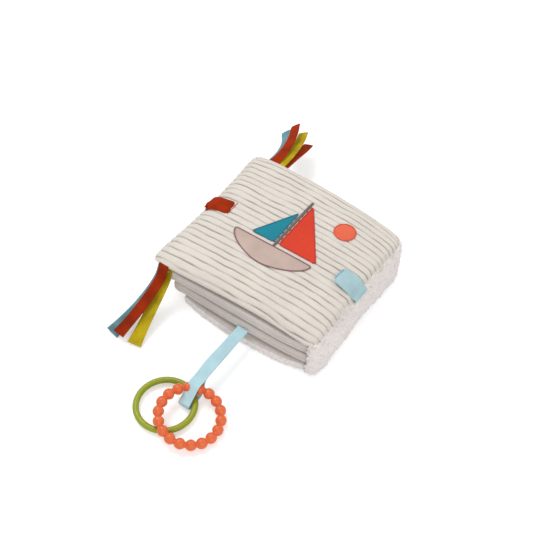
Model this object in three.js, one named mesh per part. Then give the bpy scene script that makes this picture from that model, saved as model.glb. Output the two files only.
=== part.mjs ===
// A soft baby activity book: four padded leaves on a cloth spine, with ribbons, cloth tabs and two rings
// on a strap. Millimetres. X runs from the fore-edge to the spine, Y from the near edge to the far edge,
// Z up. The origin lies under the middle of the front cover, on the ground that the closed book rests on.
import * as THREE from 'three';

// Driving sizes of the book block.
const bookWidth = 192;
const bookDepth = 176;
const backThickness = 13;
const pageThickness = 14.5;
const coverThickness = 16;
const leafGap = 0.5;
const clothThickness = 1.2;
const fitGap = 0.3;
const waddingEase = 0.9;
const rimInset = 2;
const waddingInset = 6.5;

// How far each lower leaf's free edge stays behind the front cover's, and what the spine side leaves free.
const pageOneSetback = 10;
const pageTwoSetback = 21;
const backSetback = 30;
const spineSetback = 1.2;

// Plan shape of a leaf, as shares of its half sizes. Both ends are drawn in between the corners. A near
// side with a negative share bows out. The far side bows out and narrows towards the spine.
const cornerShare = 0.028;
const backCornerShare = 0.05;
const cornerPower = 12;
const drawShare = 0.05;
const coverNearShare = 0.05;
const pageOneNearShare = 0.01;
const pageTwoNearShare = -0.03;
const backNearShare = -0.08;
const farBowShare = 0.03;
const farTaperShare = 0.13;

// Pillow shape of a leaf, as shares of its heights.
const pagePower = 30;
const coverPower = 8;
const pageCrownShare = 0.08;
const coverCrownShare = 0.3;
const flatGainShare = 1.12;
const seamMiddleShare = 0.5;
const coverSeamLeftShare = 0.4;
const coverSeamRightShare = 0.15;
const leafCells = 12;
const waddingCells = 8;
const edgeCrowdShare = 0.6;

// Wide ribs of the corduroy, running from the fore-edge to the spine.
const ribCount = 24;
const ribHeight = 0.9;

// Crinkle film inside page one.
const filmThickness = 0.4;

// Hinge line of all leaves, in the spine at half the book's full height.
const hingeSetback = 2.4;
const tapeThickness = 0.8;
const tapeInnerRadius = 3;
const tapeInset = 14;
const tapeRimGap = 1.5;
const tapeCells = 8;

// Plush spine.
const spineThickness = 2;
const spineInnerBulge = 3.2;
const spineOuterBulge = 6.4;
const spineFullPower = 0.7;
const spineSeamDrop = 0.25;
const spineEndTaperShare = 0.45;
const spineEndPower = 12;
const spineCellsAlong = 12;
const spineCellsUp = 8;

// Appliqué patches on the cover.
const patchThickness = 0.8;
const hullWidth = 92;
const hullHeight = 36;
const hullX = -2;
const hullY = -26;
const mainsailWidth = 44;
const mainsailHeight = 62;
const jibWidth = 26;
const jibHeight = 46;
const sailSpacing = 6.5;
const sailLift = 5;
const mastWidth = 3.2;
const mastRise = 5;
const sunRadius = 11;
const sunX = 46;
const sunY = 42;
const patchRings = 3;
const patchSectors = 24;

// Satin tab sewn in at the spine, lying on the cover. Its flap folds where its turn over the rim ends.
const satinThickness = 1.1;
const spineTabWidth = 23;
const spineTabY = -7;
const spineTabReach = 22;
const spineTabLift = 1.6;
const spineTabTurnShare = 1 / 3;
const spineTabSlitShare = 0.02;
const spineTabTurnSteps = 4;
const spineTabFlapSteps = 8;

// Velvet tab folded over the fore-edge.
const velvetThickness = 1.4;
const edgeTabWidth = 21;
const edgeTabY = -1;
const edgeTabReach = 21;
const edgeTabPuff = 3.8;
const edgeTabPuffPower = 1.3;
const edgeTabSteps = 12;

// Velvet ribbons at both ends of the fore-edge. A ribbon's place is a share of the ribbon width, its
// drift and drop are shares of the ribbon length. Layer 0 is sewn in at the seam, layers over it count up.
const ribbonWidth = 11.5;
const ribbonThickness = 0.8;
const ribbonLength = 80;
const ribbonSteps = 9;
const ribbonLayer = 1.15;
const tailInset = 14;
const headInset = 19.7;
const tailBendShares = { run: 1.35, fall: 0.7 };
const headBendShares = { run: 1, fall: 1.5 };
const tailRibbonShares = {
  rust: { place: 0, drift: -0.075, drop: 0.58, layer: 2 },
  mustard: { place: 0.25, drift: 0.12, drop: 0.6, layer: 1 },
  blue: { place: -0.2, drift: -0.15, drop: 0.605, layer: 0 },
};
const headRibbonShares = {
  rust: { place: 0, drift: -0.25, drop: 0.16, layer: 0 },
  mustard: { place: 0.76, drift: -0.2, drop: 0.24, layer: -1 },
  blue: { place: -0.28, drift: -0.34, drop: 0.3, layer: -1 },
  rust_low: { place: 1.1, drift: -0.14, drop: 0.4, layer: -2 },
};

// Satin strap and the two rings that it carries.
const strapWidth = 12.5;
const strapThickness = 0.9;
const strapX = 15.5;
const strapReach = 95.8;
const strapLayerGap = 0.5;
const strapSplitShare = 0.64;
const strapSteps = 44;
const loopEntryShare = 1.8;
const loopEntryRise = 2.2;
const loopFloorShare = 0.25;
const plainRingRadius = 28;
const plainTubeRadius = 3.1;
const plainRingSideways = -14.5;
const plainRingSeat = 15.2;
const plainRingLift = 0.25;
const beadRingRadius = 29.4;
const beadRadius = 5.4;
const beadNeckRadius = 3;
const beadCount = 18;
const beadRingSideways = 14;
const beadRingSeat = 18.2;
const beadRingTilt = THREE.MathUtils.degToRad(9.6);
const ringClearance = 1.4;

// Heights and places worked out from the sizes above.
const backTop = backThickness;
const pageTwoBottom = backTop + leafGap;
const pageTwoTop = pageTwoBottom + pageThickness;
const pageOneBottom = pageTwoTop + leafGap;
const pageOneTop = pageOneBottom + pageThickness;
const coverBottom = pageOneTop + leafGap;
const coverTop = coverBottom + coverThickness;
const foreEdge = -bookWidth / 2;
const spineEdge = bookWidth / 2;
const halfDepth = bookDepth / 2;
const spineRimX = spineEdge * (1 - drawShare);
const foreRimX = foreEdge * (1 - drawShare);
const hingeX = spineRimX + hingeSetback;
const hingeZ = (coverTop + ribHeight + fitGap + patchThickness) / 2;

const satinBlue = new THREE.MeshStandardMaterial({ color: 0x9fcfd8, roughness: 0.45, metalness: 0 });
const corduroyCream = new THREE.MeshStandardMaterial({ color: 0xe2dbd0, roughness: 0.95, metalness: 0 });
const plushGrey = new THREE.MeshStandardMaterial({ color: 0xd9d0cb, roughness: 1, metalness: 0 });
const pageLilac = new THREE.MeshStandardMaterial({ color: 0xbeb4b2, roughness: 0.9, metalness: 0 });
const waddingWhite = new THREE.MeshStandardMaterial({ color: 0xf2f0ec, roughness: 1, metalness: 0 });
const filmClear = new THREE.MeshStandardMaterial({ color: 0xdfe6ea, roughness: 0.3, metalness: 0 });
const rustVelvet = new THREE.MeshStandardMaterial({ color: 0xa52d14, roughness: 0.8, metalness: 0 });
const mustardVelvet = new THREE.MeshStandardMaterial({ color: 0xb9a51e, roughness: 0.8, metalness: 0 });
const blueVelvet = new THREE.MeshStandardMaterial({ color: 0x7aa8b2, roughness: 0.7, metalness: 0 });
const taupeSatin = new THREE.MeshStandardMaterial({ color: 0xc8afa3, roughness: 0.55, metalness: 0 });
const redFelt = new THREE.MeshStandardMaterial({ color: 0xe0442d, roughness: 0.8, metalness: 0 });
const tealFelt = new THREE.MeshStandardMaterial({ color: 0x1e8ca0, roughness: 0.8, metalness: 0 });
const coralFelt = new THREE.MeshStandardMaterial({ color: 0xee6e50, roughness: 0.8, metalness: 0 });
const greyFelt = new THREE.MeshStandardMaterial({ color: 0x8c7d78, roughness: 0.8, metalness: 0 });
const limeSilicone = new THREE.MeshStandardMaterial({ color: 0x9baa26, roughness: 0.4, metalness: 0 });
const coralSilicone = new THREE.MeshStandardMaterial({ color: 0xf06e41, roughness: 0.4, metalness: 0 });

const book = new THREE.Group();

function addMesh(name, geometry, material, parent = book) {
  const mesh = new THREE.Mesh(geometry, material);
  mesh.name = name;
  parent.add(mesh);
  return mesh;
}

// Grid lines from -1 to 1 that crowd towards both ends, where a padded edge turns round.
function crowdedLines(cells) {
  const crowd = (t) => Math.sin(t * Math.PI / 2);
  return evenLines(cells).map((t) => THREE.MathUtils.lerp(crowd(t), crowd(crowd(t)), edgeCrowdShare));
}

function evenLines(cells) {
  return Array.from({ length: cells + 1 }, (_, i) => 2 * i / cells - 1);
}

// A closed solid between two surfaces that share one grid of u and v lines. Seen from the upper side,
// u runs to the right and v runs away.
function gridSolid(upper, lower, uLines, vLines) {
  const columns = uLines.length;
  const rows = vLines.length;
  const positions = [];
  for (const surface of [upper, lower]) {
    for (const v of vLines) {
      for (const u of uLines) positions.push(...surface(u, v).toArray());
    }
  }
  const at = (i, j, side) => side * columns * rows + j * columns + i;
  const indices = [];
  const quad = (a, b, c, d) => indices.push(a, b, c, a, c, d);
  for (let j = 0; j < rows - 1; j++) {
    for (let i = 0; i < columns - 1; i++) {
      quad(at(i, j, 0), at(i + 1, j, 0), at(i + 1, j + 1, 0), at(i, j + 1, 0));
      quad(at(i, j, 1), at(i, j + 1, 1), at(i + 1, j + 1, 1), at(i + 1, j, 1));
    }
  }
  for (let i = 0; i < columns - 1; i++) {
    quad(at(i, 0, 1), at(i + 1, 0, 1), at(i + 1, 0, 0), at(i, 0, 0));
    quad(at(i + 1, rows - 1, 1), at(i, rows - 1, 1), at(i, rows - 1, 0), at(i + 1, rows - 1, 0));
  }
  for (let j = 0; j < rows - 1; j++) {
    quad(at(0, j + 1, 1), at(0, j, 1), at(0, j, 0), at(0, j + 1, 0));
    quad(at(columns - 1, j, 1), at(columns - 1, j + 1, 1), at(columns - 1, j + 1, 0), at(columns - 1, j, 0));
  }
  const geometry = new THREE.BufferGeometry();
  geometry.setAttribute('position', new THREE.Float32BufferAttribute(positions, 3));
  geometry.setIndex(indices);
  return geometry;
}

// A leaf: its span along X, its slab of height, and the seam where its two cloths meet.
class Leaf {
  constructor({ left, right, bottom, top, power, crown, corner, near, seamLeft, seamRight }) {
    this.middle = (left + right) / 2;
    this.halfWidth = (right - left) / 2;
    this.bottom = bottom;
    this.top = top;
    this.power = power;
    this.crown = crown;
    this.corner = corner;
    this.near = near;
    this.seamLeft = bottom + (top - bottom) * seamLeft;
    this.seamRight = bottom + (top - bottom) * seamRight;
  }

  // Height of the seam: from the fore-edge to the spine it runs straight.
  seam(u) {
    return THREE.MathUtils.lerp(this.seamLeft, this.seamRight, (u + 1) / 2);
  }

  // Plan position of a point of the leaf, given as u along X and v along Y.
  plan(u, v, inset) {
    const cornerU = 1 - this.corner * Math.abs(v) ** cornerPower;
    const cornerV = 1 - this.corner * Math.abs(u) ** cornerPower;
    const drawn = 1 - drawShare * (1 - v * v);
    const nearSide = 1 - this.near * (1 - u * u);
    const farSide = 1 + farBowShare * (1 - u * u) - farTaperShare * ((u + 1) / 2) ** 2;
    const x = this.middle + (this.halfWidth - inset) * u * cornerU * drawn;
    const y = (halfDepth - inset) * v * cornerV * THREE.MathUtils.lerp(nearSide, farSide, (v + 1) / 2);
    return [x, y];
  }

  // Share of the full height over or under the seam: nothing at the edge, one in the middle.
  dome(u, v) {
    const pillow = Math.sqrt(Math.max(0, (1 - Math.abs(u) ** this.power) * (1 - Math.abs(v) ** this.power)));
    const crown = (1 - u * u) * (1 - v * v);
    return pillow * (1 - this.crown) + crown * this.crown;
  }

  // The upper and lower limits of the leaf, thinned by a depth of cloth or wadding ease.
  upperZ(u, v, depth) {
    const seam = this.seam(u) + fitGap / 2;
    const full = this.top - seam;
    return seam + Math.max(0, full - depth) * this.dome(u, v);
  }

  lowerZ(u, v, depth, flatGain = 1) {
    const seam = this.seam(u) - fitGap / 2;
    const full = seam - this.bottom;
    return seam - Math.max(0, full - depth) * Math.min(1, this.dome(u, v) * flatGain);
  }

  point(u, v, inset, z) {
    const [x, y] = this.plan(u, v, inset);
    return new THREE.Vector3(x, y, z);
  }
}

// The cloth over a leaf's upper side: an open dish with its rim in the seam. Ribs add height to every
// second line across.
function upperCloth(leaf, vLines = crowdedLines(leafCells), rib = 0) {
  const ribOn = (u, v) => {
    const line = Math.round((v + 1) / 2 * (vLines.length - 1));
    return line % 2 * rib * Math.min(1, 2 * leaf.dome(u, v));
  };
  return gridSolid(
    (u, v) => leaf.point(u, v, 0, leaf.upperZ(u, v, 0) + (rib ? ribOn(u, v) : 0)),
    (u, v) => leaf.point(u, v, rimInset, leaf.upperZ(u, v, clothThickness)),
    crowdedLines(leafCells),
    vLines,
  );
}

function lowerCloth(leaf, flatGain = 1) {
  return gridSolid(
    (u, v) => leaf.point(u, v, rimInset, leaf.lowerZ(u, v, clothThickness, flatGain)),
    (u, v) => leaf.point(u, v, 0, leaf.lowerZ(u, v, 0, flatGain)),
    crowdedLines(leafCells),
    crowdedLines(leafCells),
  );
}

// Wadding that fills the space between the cloths.
function wadding(leaf, flatGain = 1) {
  const depth = clothThickness + waddingEase;
  return gridSolid(
    (u, v) => leaf.point(u, v, waddingInset, leaf.upperZ(u, v, depth)),
    (u, v) => leaf.point(u, v, waddingInset, leaf.lowerZ(u, v, depth, flatGain)),
    crowdedLines(waddingCells),
    crowdedLines(waddingCells),
  );
}

// Half of the wadding, over or under a film that lies in the seam plane.
function halfWadding(leaf, side) {
  const half = filmThickness / 2 + fitGap;
  const depth = clothThickness + waddingEase + half;
  const flat = (u, v) => leaf.point(u, v, waddingInset, leaf.seam(u) + side * half);
  const domed = (u, v) => {
    const z = side > 0 ? leaf.upperZ(u, v, depth) : leaf.lowerZ(u, v, depth);
    return leaf.point(u, v, waddingInset, z + side * half);
  };
  const lines = crowdedLines(waddingCells);
  return side > 0 ? gridSolid(domed, flat, lines, lines) : gridSolid(flat, domed, lines, lines);
}

// A crinkly film in the seam plane of a leaf.
function film(leaf) {
  const surface = (offset) => (u, v) => leaf.point(u, v, waddingInset, leaf.seam(u) + offset);
  const lines = crowdedLines(waddingCells);
  return gridSolid(surface(filmThickness / 2), surface(-filmThickness / 2), lines, lines);
}

// A flat band along a curve. The side vector runs across it, and the band is as thick as given along
// the cross product of side and direction.
function band(curve, side, width, thickness, steps) {
  const samples = curve.getSpacedPoints(steps);
  const normals = samples.map((_, i) => {
    const ahead = samples[Math.min(i + 1, steps)];
    const behind = samples[Math.max(i - 1, 0)];
    return new THREE.Vector3().crossVectors(side, ahead.clone().sub(behind)).normalize();
  });
  const surface = (offset) => (u, v) => {
    const i = Math.round((v + 1) / 2 * steps);
    return samples[i].clone().addScaledVector(side, u * width / 2).addScaledVector(normals[i], offset);
  };
  return gridSolid(surface(thickness / 2), surface(-thickness / 2), [-1, 1], evenLines(steps));
}

const back = new Leaf({
  left: foreEdge + backSetback,
  right: spineEdge - spineSetback,
  bottom: 0,
  top: backTop,
  power: pagePower,
  crown: pageCrownShare,
  corner: backCornerShare,
  near: backNearShare,
  seamLeft: seamMiddleShare,
  seamRight: seamMiddleShare,
});
const pageTwo = new Leaf({
  left: foreEdge + pageTwoSetback,
  right: spineEdge - spineSetback,
  bottom: pageTwoBottom,
  top: pageTwoTop,
  power: pagePower,
  crown: pageCrownShare,
  corner: cornerShare,
  near: pageTwoNearShare,
  seamLeft: seamMiddleShare,
  seamRight: seamMiddleShare,
});
const pageOne = new Leaf({
  left: foreEdge + pageOneSetback,
  right: spineEdge - spineSetback,
  bottom: pageOneBottom,
  top: pageOneTop,
  power: pagePower,
  crown: pageCrownShare,
  corner: cornerShare,
  near: pageOneNearShare,
  seamLeft: seamMiddleShare,
  seamRight: seamMiddleShare,
});
const cover = new Leaf({
  left: foreEdge,
  right: spineEdge,
  bottom: coverBottom,
  top: coverTop,
  power: coverPower,
  crown: coverCrownShare,
  corner: cornerShare,
  near: coverNearShare,
  seamLeft: coverSeamLeftShare,
  seamRight: coverSeamRightShare,
});

// The four leaves.
addMesh('back_plush', lowerCloth(back, flatGainShare), plushGrey);
addMesh('back_wadding', wadding(back, flatGainShare), waddingWhite);
addMesh('back_lining', upperCloth(back), pageLilac);
addMesh('page_two_under', lowerCloth(pageTwo), pageLilac);
addMesh('page_two_wadding', wadding(pageTwo), waddingWhite);
addMesh('page_two_upper', upperCloth(pageTwo), pageLilac);
addMesh('page_one_under', lowerCloth(pageOne), pageLilac);
addMesh('page_one_wadding_lower', halfWadding(pageOne, -1), waddingWhite);
addMesh('page_one_film', film(pageOne), filmClear);
addMesh('page_one_wadding_upper', halfWadding(pageOne, 1), waddingWhite);
addMesh('page_one_upper', upperCloth(pageOne), pageLilac);
addMesh('cover_lining', lowerCloth(cover), pageLilac);
addMesh('cover_wadding', wadding(cover), waddingWhite);
addMesh('cover_corduroy', upperCloth(cover, evenLines(2 * ribCount), ribHeight), corduroyCream);

// Tapes that carry the two pages: each runs from its page's rim towards the hinge line.
function hingeTape(page) {
  const surface = (offset) => (u, v) => {
    const [rimX, y] = page.plan(1, v * (1 - tapeInset / halfDepth), 0);
    const hinge = new THREE.Vector3(hingeX, y, hingeZ);
    const toHinge = hinge.clone().sub(new THREE.Vector3(rimX, y, page.seam(1)));
    const reach = toHinge.length();
    toHinge.normalize();
    const distance = u < 0 ? reach - tapeRimGap : tapeInnerRadius;
    const normal = new THREE.Vector3().crossVectors(toHinge, new THREE.Vector3(0, 1, 0));
    return hinge.addScaledVector(toHinge, -distance).addScaledVector(normal, offset);
  };
  return gridSolid(surface(tapeThickness / 2), surface(-tapeThickness / 2), [-1, 1], evenLines(tapeCells));
}
addMesh('page_two_tape', hingeTape(pageTwo), pageLilac);
addMesh('page_one_tape', hingeTape(pageOne), pageLilac);

// The plush spine: a padded strip from the back cover's seam up to the front cover's.
const spineTopZ = cover.seam(1) - spineSeamDrop;
const spineLowZ = back.seam(1) - spineSeamDrop;
function spineSurface(offset, bulge) {
  return (u, v) => {
    const rise = (v + 1) / 2;
    const low = back.plan(1, u, 0);
    const high = cover.plan(1, u, 0);
    const endShare = 1 - spineEndTaperShare * u ** spineEndPower;
    const full = bulge * endShare * Math.sin(Math.PI * rise) ** spineFullPower;
    const x = THREE.MathUtils.lerp(low[0], high[0], rise) + fitGap + offset + full;
    const y = THREE.MathUtils.lerp(low[1], high[1], rise);
    return new THREE.Vector3(x, y, THREE.MathUtils.lerp(spineLowZ, spineTopZ, rise));
  };
}
const spineOuter = spineSurface(spineThickness, spineOuterBulge);
const spineInner = spineSurface(0, spineInnerBulge);
addMesh(
  'spine_plush',
  gridSolid(spineOuter, spineInner, crowdedLines(spineCellsAlong), evenLines(spineCellsUp)),
  plushGrey,
);

// Height of the cover's smooth top at a plan position, and of what lies on its ribs. The steps bring u and
// v to the place that the plan shape moves to x and y.
const surfaceSteps = 8;
function coverSurface(x, y) {
  let u = 0;
  let v = 0;
  for (let i = 0; i < surfaceSteps; i++) {
    const [atX, atY] = cover.plan(u, v, 0);
    u = THREE.MathUtils.clamp(u + (x - atX) / cover.halfWidth, -1, 1);
    v = THREE.MathUtils.clamp(v + (y - atY) / halfDepth, -1, 1);
  }
  return cover.upperZ(u, v, 0);
}
const onRibs = (x, y) => coverSurface(x, y) + ribHeight + fitGap;

// A point over the cover, as far off its smooth cloth as given, where the cloth slopes along X.
function overCover(x, y, lift) {
  const slope = (coverSurface(x + fitGap, y) - coverSurface(x - fitGap, y)) / (2 * fitGap);
  const normal = new THREE.Vector3(-slope, 0, 1).normalize();
  return new THREE.Vector3(x, y, coverSurface(x, y)).addScaledVector(normal, lift);
}

// A patch of cloth on the cover. Its outline is a distance from its centre in each direction, and its
// corners are directions that the outline must hold.
function patch(centreX, centreY, outline, corners = []) {
  const angles = Array.from({ length: patchSectors }, (_, i) => 2 * Math.PI * i / patchSectors);
  for (const corner of corners) {
    const angle = (corner.angle() + 2 * Math.PI) % (2 * Math.PI);
    const nearest = Math.round(angle / (2 * Math.PI) * patchSectors) % patchSectors;
    angles[nearest] = angle;
  }
  const corner = (ring, sector, lift) => {
    const angle = angles[sector];
    const distance = outline(angle) * ring / patchRings;
    const x = centreX + distance * Math.cos(angle);
    const y = centreY + distance * Math.sin(angle);
    return [x, y, onRibs(x, y) + lift];
  };
  const positions = [];
  for (const lift of [patchThickness, 0]) {
    positions.push(...corner(0, 0, lift));
    for (let ring = 1; ring <= patchRings; ring++) {
      for (let sector = 0; sector < patchSectors; sector++) positions.push(...corner(ring, sector, lift));
    }
  }
  const sideSize = 1 + patchRings * patchSectors;
  const at = (ring, sector, side) => {
    const inRing = ring === 0 ? 0 : 1 + (ring - 1) * patchSectors + sector % patchSectors;
    return side * sideSize + inRing;
  };
  const indices = [];
  const face = (side, a, b, c) => indices.push(...(side === 0 ? [a, b, c] : [a, c, b]));
  for (const side of [0, 1]) {
    for (let s = 0; s < patchSectors; s++) {
      face(side, at(0, 0, side), at(1, s, side), at(1, s + 1, side));
      for (let ring = 1; ring < patchRings; ring++) {
        face(side, at(ring, s, side), at(ring + 1, s, side), at(ring + 1, s + 1, side));
        face(side, at(ring, s, side), at(ring + 1, s + 1, side), at(ring, s + 1, side));
      }
    }
  }
  for (let s = 0; s < patchSectors; s++) {
    indices.push(at(patchRings, s, 0), at(patchRings, s, 1), at(patchRings, s + 1, 1));
    indices.push(at(patchRings, s, 0), at(patchRings, s + 1, 1), at(patchRings, s + 1, 0));
  }
  const geometry = new THREE.BufferGeometry();
  geometry.setAttribute('position', new THREE.Float32BufferAttribute(positions, 3));
  geometry.setIndex(indices);
  return geometry;
}

// Distance from a point inside a convex polygon to its edge, in the direction of an angle.
function polygonOutline(corners) {
  return (angle) => {
    const direction = new THREE.Vector2(Math.cos(angle), Math.sin(angle));
    let nearest = Infinity;
    corners.forEach((a, i) => {
      const b = corners[(i + 1) % corners.length];
      const edge = b.clone().sub(a);
      const across = direction.cross(edge);
      const distance = a.cross(edge) / across;
      if (across > 0) nearest = Math.min(nearest, distance);
    });
    return nearest;
  };
}

// A picture of a sailing boat: a round-bottomed hull, a mast between two sails, and the sun.
const hullTopShare = 0.3;
const hullSideShare = 0.72;
const hullBottomShare = 0.7;
const hullSides = 9;
const hullCorners = Array.from({ length: hullSides + 1 }, (_, i) => {
  const turn = Math.PI * (1 + i / hullSides);
  const belly = hullHeight * hullBottomShare * Math.sin(turn);
  const side = 1 - (1 - hullSideShare) * Math.sin(turn) ** 2;
  return new THREE.Vector2(hullWidth / 2 * Math.cos(turn) * side, belly);
}).map((corner) => corner.add(new THREE.Vector2(0, hullHeight * hullTopShare)));
const deckCorners = [hullCorners[0], hullCorners[hullSides]];
addMesh('applique_hull', patch(hullX, hullY, polygonOutline(hullCorners), deckCorners), taupeSatin);

const deckY = hullY + hullHeight * hullTopShare + sailLift;
const sailCentreShare = 1 / 3;
function sail(width, height, toSpine) {
  const foot = new THREE.Vector2(toSpine * -width * sailCentreShare, -height * sailCentreShare);
  const clew = new THREE.Vector2(toSpine * width * (1 - sailCentreShare), -height * sailCentreShare);
  const head = new THREE.Vector2(toSpine * -width * sailCentreShare, height * (1 - sailCentreShare));
  const corners = toSpine > 0 ? [foot, clew, head] : [foot, head, clew];
  const centreX = hullX + toSpine * (sailSpacing / 2 + width * sailCentreShare);
  return patch(centreX, deckY + height * sailCentreShare, polygonOutline(corners), corners);
}
addMesh('applique_mainsail', sail(mainsailWidth, mainsailHeight, 1), redFelt);
addMesh('applique_jib', sail(jibWidth, jibHeight, -1), tealFelt);

const mastHeight = mainsailHeight + sailLift + mastRise - 2 * fitGap;
const mastBottom = deckY - sailLift + fitGap;
const mastPoint = (lift) => (u, v) => {
  const x = hullX + u * mastWidth / 2;
  const y = mastBottom + mastHeight * (v + 1) / 2;
  return new THREE.Vector3(x, y, onRibs(x, y) + lift);
};
addMesh('applique_mast', gridSolid(mastPoint(patchThickness), mastPoint(0), [-1, 1], evenLines(8)), greyFelt);
addMesh('applique_sun', patch(sunX, sunY, () => sunRadius), coralFelt);

// The satin tab. Its turn is sewn into the spine seam and goes over the cover's rim. Its flap goes on from
// there, back over the ribs.
function spineTabPoints(fromShare, steps, toShare) {
  return Array.from({ length: steps + 1 }, (_, i) => {
    const share = THREE.MathUtils.lerp(fromShare, toShare, i / steps);
    const x = spineRimX - spineTabReach * (1 - Math.cos(share * Math.PI / 2));
    return overCover(x, spineTabY, ribHeight + fitGap + satinThickness / 2 + spineTabLift * share);
  });
}
const farWard = new THREE.Vector3(0, 1, 0);
function spineTabPiece(name, points, steps) {
  const curve = new THREE.CatmullRomCurve3(points, false, 'centripetal');
  addMesh(name, band(curve, farWard, spineTabWidth, satinThickness, steps), satinBlue);
}
const spineTabRootX = spineRimX + fitGap + satinThickness;
const spineTabRoot = new THREE.Vector3(spineTabRootX, spineTabY, cover.seam(1) + satinThickness);
const firstTurnShare = spineTabTurnShare / spineTabTurnSteps;
const turnPoints = spineTabPoints(firstTurnShare, spineTabTurnSteps - 1, spineTabTurnShare);
spineTabPiece('spine_tab_turn', [spineTabRoot, ...turnPoints], spineTabTurnSteps);
const flapStartShare = spineTabTurnShare + spineTabSlitShare;
spineTabPiece('spine_tab', spineTabPoints(flapStartShare, spineTabFlapSteps, 1), spineTabFlapSteps);

// The velvet tab: it lies on the ribs, puffs up towards the fore-edge and turns down into the seam.
const edgeTabPoints = Array.from({ length: edgeTabSteps }, (_, i) => {
  const share = (i + 1) / edgeTabSteps;
  const x = foreRimX + edgeTabReach * (1 - Math.cos(share * Math.PI / 2));
  const puff = edgeTabPuff * Math.abs(Math.sin(Math.PI * share)) ** edgeTabPuffPower;
  return overCover(x, edgeTabY, ribHeight + fitGap + velvetThickness / 2 + puff);
});
const edgeTabRootX = foreRimX - velvetThickness;
const edgeTabRoot = new THREE.Vector3(edgeTabRootX, edgeTabY, cover.seam(-1) + velvetThickness);
const edgeTabCurve = new THREE.CatmullRomCurve3([edgeTabRoot, ...edgeTabPoints], false, 'centripetal');
const nearWard = new THREE.Vector3(0, -1, 0);
const edgeTab = band(edgeTabCurve, nearWard, edgeTabWidth, velvetThickness, edgeTabSteps);
addMesh('fore_edge_tab', edgeTab, rustVelvet);

// Ribbons out of the cover's seam. The near ones fall to the ground, the far ones droop. Each follows its
// own fall, moved off it by its layer along the normal.
function ribbon(toFar, inset, { place, drift, drop, layer }, bend) {
  const rootX = foreEdge + inset + place * ribbonWidth;
  const rimY = Math.abs(cover.plan(rootX / cover.halfWidth, toFar, 0)[1]);
  const run = ribbonLength * Math.sqrt(1 - drop ** 2 - drift ** 2);
  const shares = [0, 1 / 6, 1 / 3, 2 / 3, 1];
  const outward = (share) => rimY + fitGap + ribbonThickness / 2 + run * share ** bend.run;
  const height = (share) => cover.seam(-1) - ribbonLength * drop * share ** bend.fall;
  const points = shares.map((share, i) => {
    const ahead = shares[Math.min(i + 1, shares.length - 1)];
    const behind = shares[Math.max(i - 1, 0)];
    const fall = new THREE.Vector2(outward(ahead) - outward(behind), height(ahead) - height(behind));
    fall.normalize();
    const y = outward(share) - fall.y * layer * ribbonLayer;
    const z = height(share) + fall.x * layer * ribbonLayer;
    return new THREE.Vector3(rootX + ribbonLength * drift * share ** 2, toFar * y, z);
  });
  const side = new THREE.Vector3(toFar, 0, 0);
  return band(new THREE.CatmullRomCurve3(points), side, ribbonWidth, ribbonThickness, ribbonSteps);
}
const velvets = { rust: rustVelvet, mustard: mustardVelvet, blue: blueVelvet, rust_low: rustVelvet };
for (const [colour, shares] of Object.entries(tailRibbonShares)) {
  addMesh(`tail_ribbon_${colour}`, ribbon(-1, tailInset, shares, tailBendShares), velvets[colour]);
}
for (const [colour, shares] of Object.entries(headRibbonShares)) {
  addMesh(`head_ribbon_${colour}`, ribbon(1, headInset, shares, headBendShares), velvets[colour]);
}

// The rings lie on the strap's lower layer, the beaded one leaning on the plain one. Each hangs in the
// strap's loop: its seat is how far its centre line lies from the fold, where the strap crosses it.
const strapRootY = pageTwo.plan((strapX - pageTwo.middle) / pageTwo.halfWidth, -1, 0)[1] - fitGap;
const strapFoldY = strapRootY - strapReach;
const strapLowZ = strapThickness / 2;
const plainRingX = strapX + plainRingSideways;
const plainRingY = strapFoldY + plainRingSeat - Math.sqrt(plainRingRadius ** 2 - plainRingSideways ** 2);
const plainRingZ = strapThickness + fitGap + plainRingLift + plainTubeRadius;
const beadRingX = strapX + beadRingSideways;
const beadAcross = beadRingSideways / Math.cos(beadRingTilt);
const beadRingY = strapFoldY + beadRingSeat - Math.sqrt(beadRingRadius ** 2 - beadAcross ** 2);
const beadRingZ = beadRadius + beadRingRadius * Math.sin(beadRingTilt);
const plainRingShape = new THREE.TorusGeometry(plainRingRadius, plainTubeRadius, 8, 36);
const plainRing = addMesh('plain_ring', plainRingShape, limeSilicone);
plainRing.position.set(plainRingX, plainRingY, plainRingZ);

// The beaded ring is one moulding: a ring whose thickness swells into a bead at each step.
const stepsPerBead = 4;
const beadSides = 8;
function beadedRing() {
  const steps = beadCount * stepsPerBead;
  const halfPitch = Math.PI * beadRingRadius / beadCount;
  const positions = [];
  for (let i = 0; i < steps; i++) {
    const turn = 2 * Math.PI * i / steps;
    const along = Math.abs((i % stepsPerBead) / stepsPerBead * 2 - 1) * halfPitch;
    const radius = Math.max(beadNeckRadius, Math.sqrt(Math.max(0, beadRadius ** 2 - along ** 2)));
    for (let k = 0; k < beadSides; k++) {
      const around = 2 * Math.PI * k / beadSides;
      const reach = beadRingRadius + radius * Math.cos(around);
      positions.push(reach * Math.cos(turn), reach * Math.sin(turn), radius * Math.sin(around));
    }
  }
  const indices = [];
  for (let i = 0; i < steps; i++) {
    const next = (i + 1) % steps;
    for (let k = 0; k < beadSides; k++) {
      const beside = (k + 1) % beadSides;
      const [a, b] = [i * beadSides + k, next * beadSides + k];
      const [c, d] = [next * beadSides + beside, i * beadSides + beside];
      indices.push(a, b, c, a, c, d);
    }
  }
  const geometry = new THREE.BufferGeometry();
  geometry.setAttribute('position', new THREE.Float32BufferAttribute(positions, 3));
  geometry.setIndex(indices);
  return geometry;
}
const beadRing = addMesh('beaded_ring', beadedRing(), coralSilicone);
beadRing.position.set(beadRingX, beadRingY, beadRingZ);
beadRing.rotation.y = beadRingTilt;

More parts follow.
